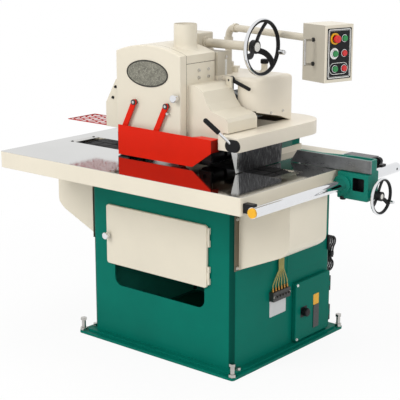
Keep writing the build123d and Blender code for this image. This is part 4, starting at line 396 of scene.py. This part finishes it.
material = {
    "beige": finishMaterial("beigePaint", "beige", coat=0.12),
    # painted shade: the arm and the gearbox wear the darker beige
    "arm": finishMaterial("armPaint", "armShadeBeige", coat=0.12),
    "green": finishMaterial("greenPaint", "green", shine=0.05),
    "red": finishMaterial("redPaint", "red", shine=0.10),
    # painted shade: the mesh guard in the darker red
    "mesh": finishMaterial("meshPaint", "meshShadeRed", rounding=0.0006, shine=0.10),
    # painted light inside the cabinet, painted dark reflection on its corners
    "cabinet": finishMaterial("cabinetPaint", "green",
                              [(inside, "insideLightGreen"), (corners, "darkReflectionGreen")], shine=0.05),
    "fence": finishMaterial("fencePaint", "green",
                            [(pocket, "blackPlastic"), (restPlate, "plateGrey")], shine=0.2),
    # painted light: the overarm in the lighter beige; painted shade in its recess and on its post top
    "overarm": finishMaterial("overarmPaint", "litBeige",
                              [(openSide, "recessShade"), (behindWall, "recessShade"),
                               (recessFloor, "recessDeepShade"), (legSides, "green"), (postTop, "armShadeBeige")],
                              coat=0.12),
    # painted shade on the side guard's return
    "guard": finishMaterial("guardPaint", "red", [(guardReturn, "shadeRed")], shine=0.10),
    # painted shade on the control box's near side
    "box": finishMaterial("boxPaint", "beige", [(boxNearSide, "shadeBeige")], coat=0.12),
    # painted shade: dark iron on the beige head casting's underside
    "head": finishMaterial("headPaint", "beige", [(headFoot, "darkIron")], coat=0.12),
    "hood": finishMaterial("hoodPaint", "beige", [(hoodFoot, "shadeBrown")], coat=0.12),
    "chainGuard": finishMaterial("chainGuardPaint", "beige", [(chainGuardEdge, "shadeBrown")], coat=0.12),
    "rollers": finishMaterial("rollerSteel", "blackSteel"),
    "zinc": finishMaterial("zincPlate", "zinc", rounding=0.0008),
    "tagGrey": finishMaterial("tagGrey", "tagGrey", rounding=0.0004),
    "hinges": finishMaterial("hingeFinish", "beige", [(farHalf, "blackPlastic")], coat=0.1),
    "table": finishMaterial("tableFinish", "beige",
                            [(nearTop, "groundIron"), (infeedTop, "groundIron")], rounding=0.0015),
    "cover": finishMaterial("coverPaint", "beige",
                            [(coverBack, "shadeBrown"), (pinHeads, "steel"),
                             (rearRing, "darkIron"), (frontRing, "darkIron")], coat=0.12),
    "sight": finishMaterial("sightGlass", "darkGlass", [(sightTube, "paleTube")], rounding=0.0006),
    "steel": finishMaterial("brightSteel", "steel", rounding=0.0008),
    "nickel": finishMaterial("nickelPlate", "nickel", rounding=0.0008),
    "chrome": finishMaterial("chromePlate", "chrome", rounding=0.0008),
    "darkIron": finishMaterial("darkIron", "darkIron"),
    "chain": finishMaterial("chainIron", "chainBlack", shine=0.2),
    "faceSteel": finishMaterial("faceSteel", "faceSteel", rounding=0.0008),
    "caps": finishMaterial("capFinish", "yellowPlastic", [(farHalf, "chrome")], rounding=0.0006),
    "handles": finishMaterial("handleFinish", "zinc",
                              [(farFeet, "darkIron"), (nearFeet, "darkIron")], rounding=0.0006),
    # painted reflection: bright steel on the fingers' near faces
    "fingers": finishMaterial("fingerSteel", "fingerSteel", [(nearFinger, "steel")], rounding=0.0006),
    "leverRod": finishMaterial("leverFinish", "chrome",
                               [(leverGrip, "blackPlastic"), (leverBoss, "blackPlastic")],
                               rounding=0.0008, shine=0.2),
    "liftWheel": wheelMaterial("liftWheelFinish", liftWheel),
    "fenceWheel": wheelMaterial("fenceWheelFinish", fenceWheel),
    "blackPlastic": finishMaterial("blackPlastic", "blackPlastic", rounding=0.0006, shine=0.2),
    "redPlastic": finishMaterial("redPlastic", "redPlastic", rounding=0.0006, coat=0.2),
    "greenPlastic": finishMaterial("greenPlastic", "greenPlastic", rounding=0.0006, coat=0.2),
    "yellowPlastic": finishMaterial("yellowPlastic", "yellowPlastic", rounding=0.0006),
    "whitePlate": finishMaterial("whitePlate", "whitePlate", rounding=0.0004),
    "manifold": finishMaterial("manifoldFinish", "darkIron", [(fittings, "brass")], rounding=0.0006),
    "oilTube": finishMaterial("oilTube", "oilTube", rounding=0.0004),
    "motorGrey": finishMaterial("motorPaint", "motorGrey"),
    "rubber": finishMaterial("blackRubber", "rubber", rounding=0.0004),
    "pewter": finishMaterial("pewterPlate", "pewter", rounding=0.0006),
    "darkPewter": finishMaterial("pewterRim", "darkPewter", rounding=0.0006),
}

# Finish of each construction node
wearing = {
    "beige": "cabinet_door",
    "arm": "lift_gearbox control_arm",
    "box": "control_box",
    "overarm": "overarm",
    "head": "head_casting",
    "hood": "dust_hood",
    "chainGuard": "infeed_chain_guard outfeed_chain_guard",
    "green": "base_plate pedestal lube_door",
    "fence": "fence_body",
    "guard": "side_guard",
    "red": "guard_link_rear guard_link_front",
    "mesh": "mesh_guard",
    "cabinet": "cabinet",
    "hinges": "door_hinges",
    "table": "table",
    "cover": "blade_cover",
    "sight": "sight_glass",
    "steel": "lift_screw arbor saw_blade",
    "rollers": "infeed_roller outfeed_roller",
    "zinc": "levelling_bolts slot_end_plates",
    "chrome": "fence_rail cabinet_knob latch_knob",
    "handles": "box_handles",
    "darkIron": "chain_frame arbor_housing drive_sprocket idler_sprocket",
    "chain": "feed_chain",
    "faceSteel": "fence_face",
    "fingers": "kickback_fingers",
    "leverRod": "finger_lever",
    "liftWheel": "lift_handwheel",
    "fenceWheel": "fence_handwheel",
    "blackPlastic": "clamp_lever lube_knob fence_knob cable_gland mains_lead rail_brackets",
    "redPlastic": "emergency_stop saw_stop_button feed_stop_button",
    "greenPlastic": "lift_button saw_start_button feed_start_button",
    "caps": "rail_caps",
    "manifold": "oil_manifold",
    "oilTube": "oil_lines",
    "motorGrey": "saw_motor feed_gearmotor",
}
for key, names in wearing.items():
    for name in names.split():
        for place in nodes[name].material_slots:
            place.material = material[key]
print("finishes on", sum(len(names.split()) for names in wearing.values()), "nodes")


# Builders for small pieces: each works in its own plane, then is seated on the object
def seat(origin, normal, up=(0, 0, 1)):
    n, v = Vector(normal).normalized(), Vector(up).normalized()
    u = v.cross(n).normalized()
    v = n.cross(u)
    rows = [(u[i], v[i], n[i], origin[i]) for i in range(3)]
    return Matrix((*rows, (0, 0, 0, 1)))


def settle(name, mesh, body):  # smooth shading with crisp edges, then onto its body
    for face in mesh.polygons:
        face.use_smooth = True
    mesh.set_sharp_from_angle(angle=radians(35))
    piece = bpy.data.objects.new(name, mesh)
    scene.collection.objects.link(piece)
    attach(piece, body)
    return piece


def fromRings(name, rings, look, closed=False):
    bm = bmesh.new()
    loops = [[bm.verts.new(spot) for spot in ring] for ring in rings]
    pairs = list(zip(loops, loops[1:])) + ([(loops[-1], loops[0])] if closed else [])
    for a, b in pairs:
        for i in range(len(a)):
            j = (i + 1) % len(a)
            bm.faces.new((a[i], a[j], b[j], b[i]))
    if not closed:
        bm.faces.new(loops[0])
        bm.faces.new(loops[-1])
    bmesh.ops.remove_doubles(bm, verts=bm.verts, dist=1e-7)
    bmesh.ops.recalc_face_normals(bm, faces=bm.faces)
    mesh = bpy.data.meshes.new(name)
    bm.to_mesh(mesh)
    bm.free()
    mesh.materials.append(material[look])
    return mesh


def anglesRound(steps):
    return [2 * pi * i / steps for i in range(steps)]


def roundRect(width, height, corner, steps=6):
    def outline(inset, w):
        x, y, r = width / 2 - inset, height / 2 - inset, max(corner - inset, 0.0002)
        ring = []
        for quarter, (cx, cy) in enumerate(((x - r, y - r), (r - x, y - r), (r - x, r - y), (x - r, r - y))):
            for i in range(steps + 1):
                a = radians(90 * quarter + 90 * i / steps)
                ring.append((cx + r * cos(a), cy + r * sin(a), w))
        return ring
    return outline


def oval(width, height, steps=72):
    def outline(inset, w):
        x, y = width / 2 - inset, height / 2 - inset
        return [(x * cos(a), y * sin(a), w) for a in anglesRound(steps)]
    return outline


def slab(name, outline, levels, where, look, body):  # levels of inset and height, foot to top
    mesh = fromRings(name, [outline(inset, w) for inset, w in levels], look)
    mesh.transform(where)
    return settle(name, mesh, body)


def turned(name, profile, where, look, body, sides=40):  # profile of radius and height
    rings = [[(r * cos(a), r * sin(a), w) for a in anglesRound(sides)] for r, w in profile]
    mesh = fromRings(name, rings, look)
    mesh.transform(where)
    return settle(name, mesh, body)


def collar(name, outline, inner, low, high, edge, where, look, body):  # raised band with a hole
    rings = [outline(0, low), outline(0, high - edge), outline(edge, high), outline(inner - edge, high),
             outline(inner, high - edge), outline(inner, low)]
    mesh = fromRings(name, rings, look, closed=True)
    mesh.transform(where)
    return settle(name, mesh, body)


# Geometry Nodes: helpers, and trees for screws, ribs, scale marks and tread bars
def newTree(name, inputs):
    tree = bpy.data.node_groups.new(name, "GeometryNodeTree")
    tree.interface.new_socket("Geometry", in_out="INPUT", socket_type="NodeSocketGeometry")
    for label, kind in inputs.items():
        tree.interface.new_socket(label, in_out="INPUT", socket_type="NodeSocket" + kind)
    tree.interface.new_socket("Geometry", in_out="OUTPUT", socket_type="NodeSocketGeometry")
    return tree, put(tree, "NodeGroupInput").outputs


def endTree(tree, instances, finish):
    real = put(tree, "GeometryNodeRealizeInstances", {}, {0: instances})
    painted = put(tree, "GeometryNodeSetMaterial", {}, {"Geometry": real.outputs[0], "Material": finish})
    put(tree, "NodeGroupOutput", {}, {0: painted.outputs[0]})
    return tree


def screwTree():  # heads with a socket and a washer on each point
    tree, given = newTree("screwHeads", {"Head Radius": "Float", "Head Height": "Float", "Head Sides": "Int",
                                         "Socket Share": "Float", "Washer Radius": "Float",
                                         "Washer Height": "Float", "Turn": "Rotation", "Finish": "Material"})
    head = put(tree, "GeometryNodeMeshCylinder", {"fill_type": "NGON"},
               {"Vertices": given["Head Sides"], "Radius": given["Head Radius"],
                "Depth": given["Head Height"]})
    rim = put(tree, "GeometryNodeExtrudeMesh", {"mode": "FACES"},
              {"Mesh": head.outputs["Mesh"], "Selection": head.outputs["Top"], "Offset Scale": 0.0})
    drawn = put(tree, "GeometryNodeScaleElements", {"domain": "FACE"},
                {"Geometry": rim.outputs["Mesh"], "Selection": rim.outputs["Top"],
                 "Scale": given["Socket Share"]})
    depth = sums(tree, "MULTIPLY", given["Head Height"], -0.6)
    cut = put(tree, "GeometryNodeExtrudeMesh", {"mode": "FACES"},
              {"Mesh": drawn.outputs[0], "Selection": rim.outputs["Top"], "Offset Scale": depth})
    lift = sums(tree, "ADD", given["Washer Height"], sums(tree, "MULTIPLY", given["Head Height"], 0.5))
    up = put(tree, "ShaderNodeCombineXYZ", {}, {"Z": lift})
    raised = put(tree, "GeometryNodeTransform", {},
                 {"Geometry": cut.outputs["Mesh"], "Translation": up.outputs[0]})
    washer = put(tree, "GeometryNodeMeshCylinder", {"fill_type": "NGON"},
                 {"Vertices": 24, "Radius": given["Washer Radius"], "Depth": given["Washer Height"]})
    low = put(tree, "ShaderNodeCombineXYZ", {}, {"Z": sums(tree, "MULTIPLY", given["Washer Height"], 0.5)})
    flat = put(tree, "GeometryNodeTransform", {},
               {"Geometry": washer.outputs["Mesh"], "Translation": low.outputs[0]})
    screw = put(tree, "GeometryNodeJoinGeometry")
    tree.links.new(raised.outputs[0], screw.inputs[0])
    tree.links.new(flat.outputs[0], screw.inputs[0])
    spread = put(tree, "GeometryNodeInstanceOnPoints", {},
                 {"Points": given["Geometry"], "Instance": screw.outputs[0], "Rotation": given["Turn"]})
    return endTree(tree, spread.outputs[0], given["Finish"])


def ribTree():  # bars standing round a circle
    tree, given = newTree("ribRing", {"Count": "Int", "Ring Radius": "Float", "Rib Size": "Vector",
                                      "Turn": "Rotation", "Centre": "Vector", "Finish": "Material"})
    ring = put(tree, "GeometryNodeMeshCircle", {},
               {"Vertices": given["Count"], "Radius": given["Ring Radius"]})
    rib = put(tree, "GeometryNodeMeshCube", {}, {"Size": given["Rib Size"]})
    step = sums(tree, "DIVIDE", 2 * pi, given["Count"])
    angle = sums(tree, "MULTIPLY", put(tree, "GeometryNodeInputIndex").outputs[0], step)
    turn = put(tree, "ShaderNodeCombineXYZ", {}, {"Z": angle})
    spread = put(tree, "GeometryNodeInstanceOnPoints", {},
                 {"Points": ring.outputs[0], "Instance": rib.outputs[0], "Rotation": turn.outputs[0]})
    seated = put(tree, "GeometryNodeTransform", {},
                 {"Geometry": spread.outputs[0], "Translation": given["Centre"], "Rotation": given["Turn"]})
    return endTree(tree, seated.outputs[0], given["Finish"])


def markTree():  # scale marks in a row, every fifth one long
    tree, given = newTree("scaleMarks", {"Count": "Int", "Pitch": "Float", "Mark Size": "Vector",
                                         "Turn": "Rotation", "Centre": "Vector", "Finish": "Material"})
    line = put(tree, "GeometryNodeMeshLine", {}, {"Count": given["Count"], "Offset": (0.0, 0.0, 0.0)})
    index = put(tree, "GeometryNodeInputIndex").outputs[0]
    along = put(tree, "ShaderNodeCombineXYZ", {}, {"Y": sums(tree, "MULTIPLY", index, given["Pitch"])})
    row = put(tree, "GeometryNodeSetPosition", {}, {"Geometry": line.outputs[0], "Offset": along.outputs[0]})
    fifth = sums(tree, "LESS_THAN", sums(tree, "MODULO", index, 5.0), 0.5)
    size = put(tree, "ShaderNodeCombineXYZ", {}, {"X": sums(tree, "ADD", 1.0, fifth), "Y": 1.0, "Z": 1.0})
    mark = put(tree, "GeometryNodeMeshCube", {}, {"Size": given["Mark Size"]})
    spread = put(tree, "GeometryNodeInstanceOnPoints", {},
                 {"Points": row.outputs[0], "Instance": mark.outputs[0], "Scale": size.outputs[0]})
    seated = put(tree, "GeometryNodeTransform", {},
                 {"Geometry": spread.outputs[0], "Translation": given["Centre"], "Rotation": given["Turn"]})
    return endTree(tree, seated.outputs[0], given["Finish"])


def treadTree():  # bars on points, each leaning as its own attribute says
    tree, given = newTree("treadBars", {"Bar Size": "Vector", "Finish": "Material"})
    bar = put(tree, "GeometryNodeMeshCube", {}, {"Size": given["Bar Size"]})
    lean = put(tree, "GeometryNodeInputNamedAttribute", {"data_type": "FLOAT"}, {"Name": "lean"})
    turn = put(tree, "ShaderNodeCombineXYZ", {}, {"Y": lean.outputs[0]})
    spread = put(tree, "GeometryNodeInstanceOnPoints", {},
                 {"Points": given["Geometry"], "Instance": bar.outputs[0], "Rotation": turn.outputs[0]})
    return endTree(tree, spread.outputs[0], given["Finish"])


trees = {"screws": screwTree(), "ribs": ribTree(), "marks": markTree(), "treads": treadTree()}


def grow(name, kind, spots, settings, body, leans=None):  # plain mesh from a tree
    seed = bpy.data.meshes.new(name + "Spots")
    seed.from_pydata([tuple(spot) for spot in spots], [], [])
    if leans:
        seed.attributes.new("lean", "FLOAT", "POINT").data.foreach_set("value", leans)
    holder = bpy.data.objects.new(name + "Spots", seed)
    scene.collection.objects.link(holder)
    modifier = holder.modifiers.new("grow", "NODES")
    modifier.node_group = trees[kind]
    for item in trees[kind].interface.items_tree:
        if item.in_out == "INPUT" and item.name in settings:
            modifier[item.identifier] = settings[item.name]
    grown = holder.evaluated_get(bpy.context.evaluated_depsgraph_get())
    mesh = bpy.data.meshes.new_from_object(grown)
    mesh.name = name
    holder.modifiers.remove(modifier)
    bpy.data.objects.remove(holder)
    return settle(name, mesh, body)


def screws(name, spots, normal, body, look, radius, height, sides=20, socket=0.55):
    turn = seat((0, 0, 0), normal, (0, 0, 1) if abs(normal[2]) < 0.9 else (0, 1, 0)).to_euler()
    settings = {"Head Radius": radius, "Head Height": height, "Head Sides": sides, "Socket Share": socket,
                "Washer Radius": radius * 1.25, "Washer Height": 0.0012, "Turn": turn,
                "Finish": material[look]}
    return grow(name, "screws", spots, settings, body)


# Mains lead: folded into a hank that hangs from the gland, drawn in at the waist
hank = {"exit": (0.330, 0.409, 0.436), "middle": 0.470, "foldRadius": 0.028, "waistHalf": 0.006,
        "waist": 0.350, "waistRun": 0.036, "waistStep": 0.040, "loops": 4, "pitch": 0.0102,
        "diameter": 0.008, "length": 1.95}


def hankRoute():
    x, y, top = hank["exit"]
    middle, fold, drawn = hank["middle"], hank["foldRadius"], hank["waistHalf"]
    near, far = middle - fold, middle + fold
    waistHigh, waistLow = hank["waist"] + hank["waistRun"] / 2, hank["waist"] - hank["waistRun"] / 2
    foldHigh, foldLow = waistHigh + hank["waistStep"], waistLow - hank["waistStep"]
    ease, side, tip = 0.012, 0.577 * fold, 1.155 * fold
    route = [(x, y, top), (x, middle - 0.02, top), (x, far, top)]
    for loop in range(hank["loops"]):
        ahead = x + hank["pitch"]
        route += [(x, far, foldHigh - ease), (x, middle + drawn, waistHigh + ease),
                  (x, middle + drawn, waistLow - ease), (x, far, foldLow + ease),
                  (x, far, foldLow - side), (x, middle, foldLow - tip), (x, near, foldLow - side),
                  (x, near, foldLow + ease), (x, middle - drawn, waistLow - ease),
                  (ahead, middle - drawn, waistHigh + ease), (ahead, near, foldHigh - ease),
                  (ahead, near, foldHigh + side), (ahead, middle, foldHigh + tip),
                  (ahead, far, foldHigh + side)]
        x = ahead
    route += [(x, far, foldHigh - ease), (x, middle + drawn, waistHigh + ease),
              (x, middle + drawn, waistLow)]
    return route


leadCurve = bpy.data.curves.new("mainsLead", "CURVE")
leadCurve.dimensions = "3D"
leadCurve.bevel_depth = hank["diameter"] / 2
leadCurve.bevel_resolution = 3
leadCurve.resolution_u = 10
leadCurve.use_fill_caps = True
leadSpline = leadCurve.splines.new("NURBS")
leadPoints = hankRoute()
leadSpline.points.add(len(leadPoints) - 1)
for spot, point in zip(leadPoints, leadSpline.points):
    point.co = (*spot, 1.0)
leadSpline.order_u = 3
leadSpline.use_endpoint_u = True
leadCurve.materials.append(material["rubber"])
mainsLead = bpy.data.objects.new("mainsLead", leadCurve)
scene.collection.objects.link(mainsLead)
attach(mainsLead, "frame")
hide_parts("mains_lead")

tie = {"width": 0.018, "thick": 0.0016, "slack": 0.001, "corner": 0.006, "edge": 0.0004}
tieX = hank["exit"][0] + hank["loops"] * hank["pitch"] / 2
tieWide = hank["loops"] * hank["pitch"] + hank["diameter"] + 2 * tie["thick"] + tie["slack"]
tieDeep = 2 * hank["waistHalf"] + hank["diameter"] + 2 * tie["thick"] + tie["slack"]
tieSeat = seat((tieX, hank["middle"], hank["waist"]), (0, 0, 1), (0, 1, 0))
leadTie = collar("leadTie", roundRect(tieWide, tieDeep, tie["corner"]), tie["thick"], -tie["width"] / 2,
                 tie["width"] / 2, tie["edge"], tieSeat, "rubber", "frame")
print("lead hung in its hank")

# Blade cover: blank oval plate with a raised rim
ovalPlate = {"centre": (-0.057, -0.3781, 1.281), "width": 0.243, "height": 0.118, "rim": 0.006, "lap": 0.004}
onCover = seat(ovalPlate["centre"], (0, -1, 0))
slab("ovalPlate", oval(ovalPlate["width"] - ovalPlate["lap"], ovalPlate["height"] - ovalPlate["lap"]),
     [(0.0, 0.0), (0.0, 0.0014), (0.012, 0.0020), (0.03, 0.0026)], onCover, "pewter", "cover")
collar("ovalRim", oval(ovalPlate["width"], ovalPlate["height"]), ovalPlate["rim"], low=0.0, high=0.0034,
       edge=0.001, where=onCover, look="darkPewter", body="cover")

# Head: socket screws on its side and round the cover's hinge
screws("headScrews", [(0.1331, y, z) for y in (-0.255, -0.190) for z in (1.267, 1.299)], (1, 0, 0), "head",
       "nickel", radius=0.0062, height=0.005)
screws("hingeScrews", [(-0.291, -0.3351, 1.196), (-0.308, -0.3351, 1.146)], (0, -1, 0), "head",
       "blackPlastic", radius=0.0055, height=0.005)

# Height scale on the post
heightScale = {"x": 0.1451, "y": -0.082, "low": 1.260, "high": 1.331, "wide": 0.014, "corner": 0.0015,
               "screw": 1.343, "marks": 21, "pitch": 0.0032, "mark": (0.003, 0.0005, 0.0003)}
scaleX, scaleY = heightScale["x"], heightScale["y"]
scaleMid = (heightScale["low"] + heightScale["high"]) / 2
scaleTall = heightScale["high"] - heightScale["low"]
slab("heightScale", roundRect(heightScale["wide"], scaleTall, heightScale["corner"]),
     [(0.0, 0.0), (0.0, 0.0010), (0.0003, 0.0013)], seat((scaleX, scaleY, scaleMid), (1, 0, 0)),
     "whitePlate", "frame")
grow("heightMarks", "marks", [(0, 0, 0)],
     {"Count": heightScale["marks"], "Pitch": heightScale["pitch"], "Mark Size": heightScale["mark"],
      "Turn": seat((0, 0, 0), (1, 0, 0)).to_euler(),
      "Centre": (scaleX + 0.0014, scaleY - 0.002, heightScale["low"] + 0.0035),
      "Finish": material["blackPlastic"]}, "frame")
screws("scaleScrew", [(scaleX, scaleY, heightScale["screw"])], (1, 0, 0), "frame", "nickel", radius=0.005,
       height=0.004)

# Column: screws low on the front, a small lug and an oil filler with a ribbed cap on top
screws("columnScrews", [(0.3401, -0.005, 1.102), (0.3401, 0.083, 1.101)], (1, 0, 0), "frame", "nickel",
       radius=0.0055, height=0.003)
slab("columnLug", roundRect(0.024, 0.022, 0.004), [(0.0, -0.001), (0.0, 0.024), (0.002, 0.027)],
     seat((0.120, 0.016, 1.262), (0, 0, 1), (0, 1, 0)), "beige", "frame")
filler = {"place": (0.222, 0.101, 1.262), "neck": 0.0145, "cap": 0.0175, "tall": 0.040,
          "ribs": 24, "rib": (0.0016, 0.0016, 0.014)}
fillerSeat = seat(filler["place"], (0, 0, 1), (0, 1, 0))
turned("fillerNeck", [(0.023, 0.0), (0.023, 0.004), (0.0175, 0.008), (filler["neck"], 0.014),
                      (filler["neck"], filler["tall"])],
       fillerSeat, "beige", "frame")
capLevels = ((filler["cap"] - 0.001, -0.001), (filler["cap"], 0.0), (filler["cap"], 0.016),
             (filler["cap"] - 0.002, 0.019), (0.010, 0.0198), (0.002, 0.0200))
turned("fillerCap", [(radius, filler["tall"] + level) for radius, level in capLevels],
       fillerSeat, "blackPlastic", "frame")
fillerX, fillerY, fillerZ = filler["place"]
grow("fillerRibs", "ribs", [(0, 0, 0)],
     {"Count": filler["ribs"], "Ring Radius": filler["cap"], "Rib Size": filler["rib"],
      "Turn": (0, 0, 0), "Centre": (fillerX, fillerY, fillerZ + filler["tall"] + 0.008),
      "Finish": material["blackPlastic"]}, "frame")

# Control box front: dark panel with a pale double border, rings round the buttons
control = {"pivot": (-0.042, 0.172), "turn": (0.9636, -0.2672), "front": 0.779, "low": 1.277,
           "height": 0.237, "columns": (-0.0275, 0.0215), "rows": (1.458, 1.397, 1.334), "hole": 0.0095}


def onPanel(across, z, out=0.0):
    ux, uy = control["turn"]
    x, y = control["pivot"]
    reach = control["front"] + out
    return seat((x + ux * reach - uy * across, y + uy * reach + ux * across, z), (ux, uy, 0))


panelMid = control["low"] + control["height"] / 2
leftColumn, rightColumn = control["columns"]
rowOne, rowTwo, rowThree = control["rows"]


def holedPanel(name, width, height, corner, thick, holes, where, look, body, sides=32):
    bm = bmesh.new()
    loops = [roundRect(width, height, corner)(0, 0.0)]
    for u, v, r in holes:
        loops.append([(u + r * cos(a), v + r * sin(a), 0.0) for a in anglesRound(sides)])
    for loop in loops:
        ring = [bm.verts.new(spot) for spot in loop]
        for a, b in zip(ring, ring[1:] + ring[:1]):
            bm.edges.new((a, b))
    bmesh.ops.triangle_fill(bm, use_beauty=True, edges=bm.edges[:])
    made = bmesh.ops.extrude_face_region(bm, geom=bm.faces[:])
    raised = [v for v in made["geom"] if isinstance(v, bmesh.types.BMVert)]
    bmesh.ops.translate(bm, vec=(0, 0, thick), verts=raised)
    bmesh.ops.recalc_face_normals(bm, faces=bm.faces)
    mesh = bpy.data.meshes.new(name)
    bm.to_mesh(mesh)
    bm.free()
    mesh.materials.append(material[look])
    mesh.transform(where)
    return settle(name, mesh, body)


buttonSpots = [(leftColumn, rowOne), (rightColumn, rowOne), (leftColumn, rowTwo), (rightColumn, rowTwo),
               (leftColumn, rowThree), (rightColumn, rowThree)]
panelSeat = onPanel(0.0, panelMid, 0.0001)
holedPanel("controlPanel", 0.129, 0.210, corner=0.004, thick=0.0016,
           holes=[(u, z - panelMid, control["hole"]) for u, z in buttonSpots],
           where=panelSeat, look="blackPlastic", body="control_swivel")
collar("panelBorder", roundRect(0.121, 0.202, 0.009), inner=0.0032, low=0.0015, high=0.0022, edge=0.0003,
       where=panelSeat, look="whitePlate", body="control_swivel")
collar("panelLine", roundRect(0.110, 0.191, 0.006), inner=0.0010, low=0.0015, high=0.0020, edge=0.0002,
       where=panelSeat, look="whitePlate", body="control_swivel")
collar("stopRing", oval(0.047, 0.047), inner=0.0075, low=0.0016, high=0.0068, edge=0.0012,
       where=onPanel(leftColumn, rowOne), look="yellowPlastic", body="control_swivel")
ringNames = ("raiseRing", "sawStartRing", "sawStopRing", "feedStartRing", "feedStopRing")
for name, (across, z) in zip(ringNames, buttonSpots[1:]):
    collar(name, oval(0.0315, 0.0315), inner=0.0030, low=0.0016, high=0.0085, edge=0.0010,
           where=onPanel(across, z), look="chrome", body="control_swivel")
collar("sawStartDisc", oval(0.046, 0.046), inner=0.0070, low=0.0015, high=0.0022, edge=0.0003,
       where=onPanel(leftColumn, rowTwo), look="whitePlate", body="control_swivel")
rowMid = (leftColumn + rightColumn) / 2
collar("feedOutline", roundRect(0.100, 0.048, 0.0238, 12), inner=0.0020, low=0.0015, high=0.0021, edge=0.0003,
       where=onPanel(rowMid, rowThree), look="whitePlate", body="control_swivel")

# Chain guard flange bolts and table end-plate screws
screws("guardBolts", [(0.4262, -0.350, z) for z in (0.484, 0.700)], (1, 0, 0), "frame", "nickel",
       radius=0.006, height=0.005, sides=6, socket=0.2)
screws("endPlateScrews", [(x, y, 0.9001) for x in (-0.613, 0.613) for y in (-0.306, -0.164)], (0, 0, 1),
       "frame", "darkIron", radius=0.005, height=0.0008, socket=0.5)

# Lubrication: blank plate under the manifold, tag over the sight window, knob plate, screws
slab("oilPlate", roundRect(0.124, 0.078, 0.004), [(0.0, 0.0), (0.0, 0.0010), (0.0004, 0.0014)],
     seat((0.4231, -0.045, 0.229), (1, 0, 0)), "tagGrey", "frame")
slab("levelTag", roundRect(0.045, 0.052, 0.003), [(0.0, 0.0), (0.0, 0.0010), (0.0004, 0.0014)],
     seat((0.4451, 0.2315, 0.197), (1, 0, 0)), "yellowPlastic", "oil_door")
screws("lubeScrews", [(0.4451, 0.080, 0.300), (0.4451, 0.080, 0.036)], (1, 0, 0), "oil_door", "whitePlate",
       radius=0.0055, height=0.003, socket=0.4)
screws("manifoldScrews", [(0.4471, y, 0.290) for y in (-0.103, 0.013)], (1, 0, 0), "frame", "nickel",
       radius=0.004, height=0.003)
holedPanel("lubeKnobPlate", 0.052, 0.050, corner=0.003, thick=0.0002, holes=[(0.0, 0.0, 0.0158)],
           where=seat((0.44505, 0.133, 0.160), (1, 0, 0)), look="blackPlastic", body="oil_door")

# Upper panel's hinge barrel in three knuckles, and the knob under the fence's rail clamp
hinge = {"place": (0.4305, 0.345, 0.411), "radius": 0.0062, "neck": 0.0052, "knuckle": 0.024}
barrel = [(0.0055, 0.0), (hinge["radius"], 0.0008)]
for third in range(3):
    rise = hinge["knuckle"] * third
    barrel += [(hinge["radius"], 0.0232 + rise), (hinge["neck"], 0.0236 + rise),
               (hinge["radius"], 0.0240 + rise)]
turned("panelHinge", barrel[:-1], seat(hinge["place"], (0, 0, 1), (0, 1, 0)), "blackPlastic", "frame",
       sides=24)
turned("railClampKnob", [(0.006, -0.002), (0.006, 0.008), (0.012, 0.009), (0.0135, 0.012), (0.0135, 0.020),
                         (0.011, 0.0235), (0.004, 0.0245)],
       seat((0.745, -0.030, 0.802), (0, 0, -1), (0, 1, 0)), "blackPlastic", "fence")
print("small pieces made")

# Tread bars across the feed chain's pads, clear of the kerf groove
treads = {"sprocketX": 0.527, "axleZ": 0.76822, "reach": 0.1318, "bars": 184, "rows": (-0.2755, -0.1945),
          "bar": (0.0032, 0.064, 0.0012)}


def chainSpots():
    straight, turnRadius = 2 * treads["sprocketX"], treads["reach"]
    arc = pi * turnRadius
    spots, leans = [], []
    for i in range(treads["bars"]):
        s = (i + 0.5) * 2 * (straight + arc) / treads["bars"]
        side = 1 if s < straight + arc else -1
        s -= 0.0 if side == 1 else straight + arc
        lean = max(0.0, s - straight) / turnRadius
        x = side * (min(s, straight) - treads["sprocketX"] + turnRadius * sin(lean))
        z = treads["axleZ"] + side * turnRadius * cos(lean)
        for row in treads["rows"]:
            spots.append((x, row, z))
            leans.append(lean if side == 1 else lean + pi)
    return spots, leans


treadSpots, treadLeans = chainSpots()
grow("chainTreads", "treads", treadSpots, {"Bar Size": treads["bar"], "Finish": material["chain"]}, "frame",
     treadLeans)
print("tread bars:", len(treadSpots))
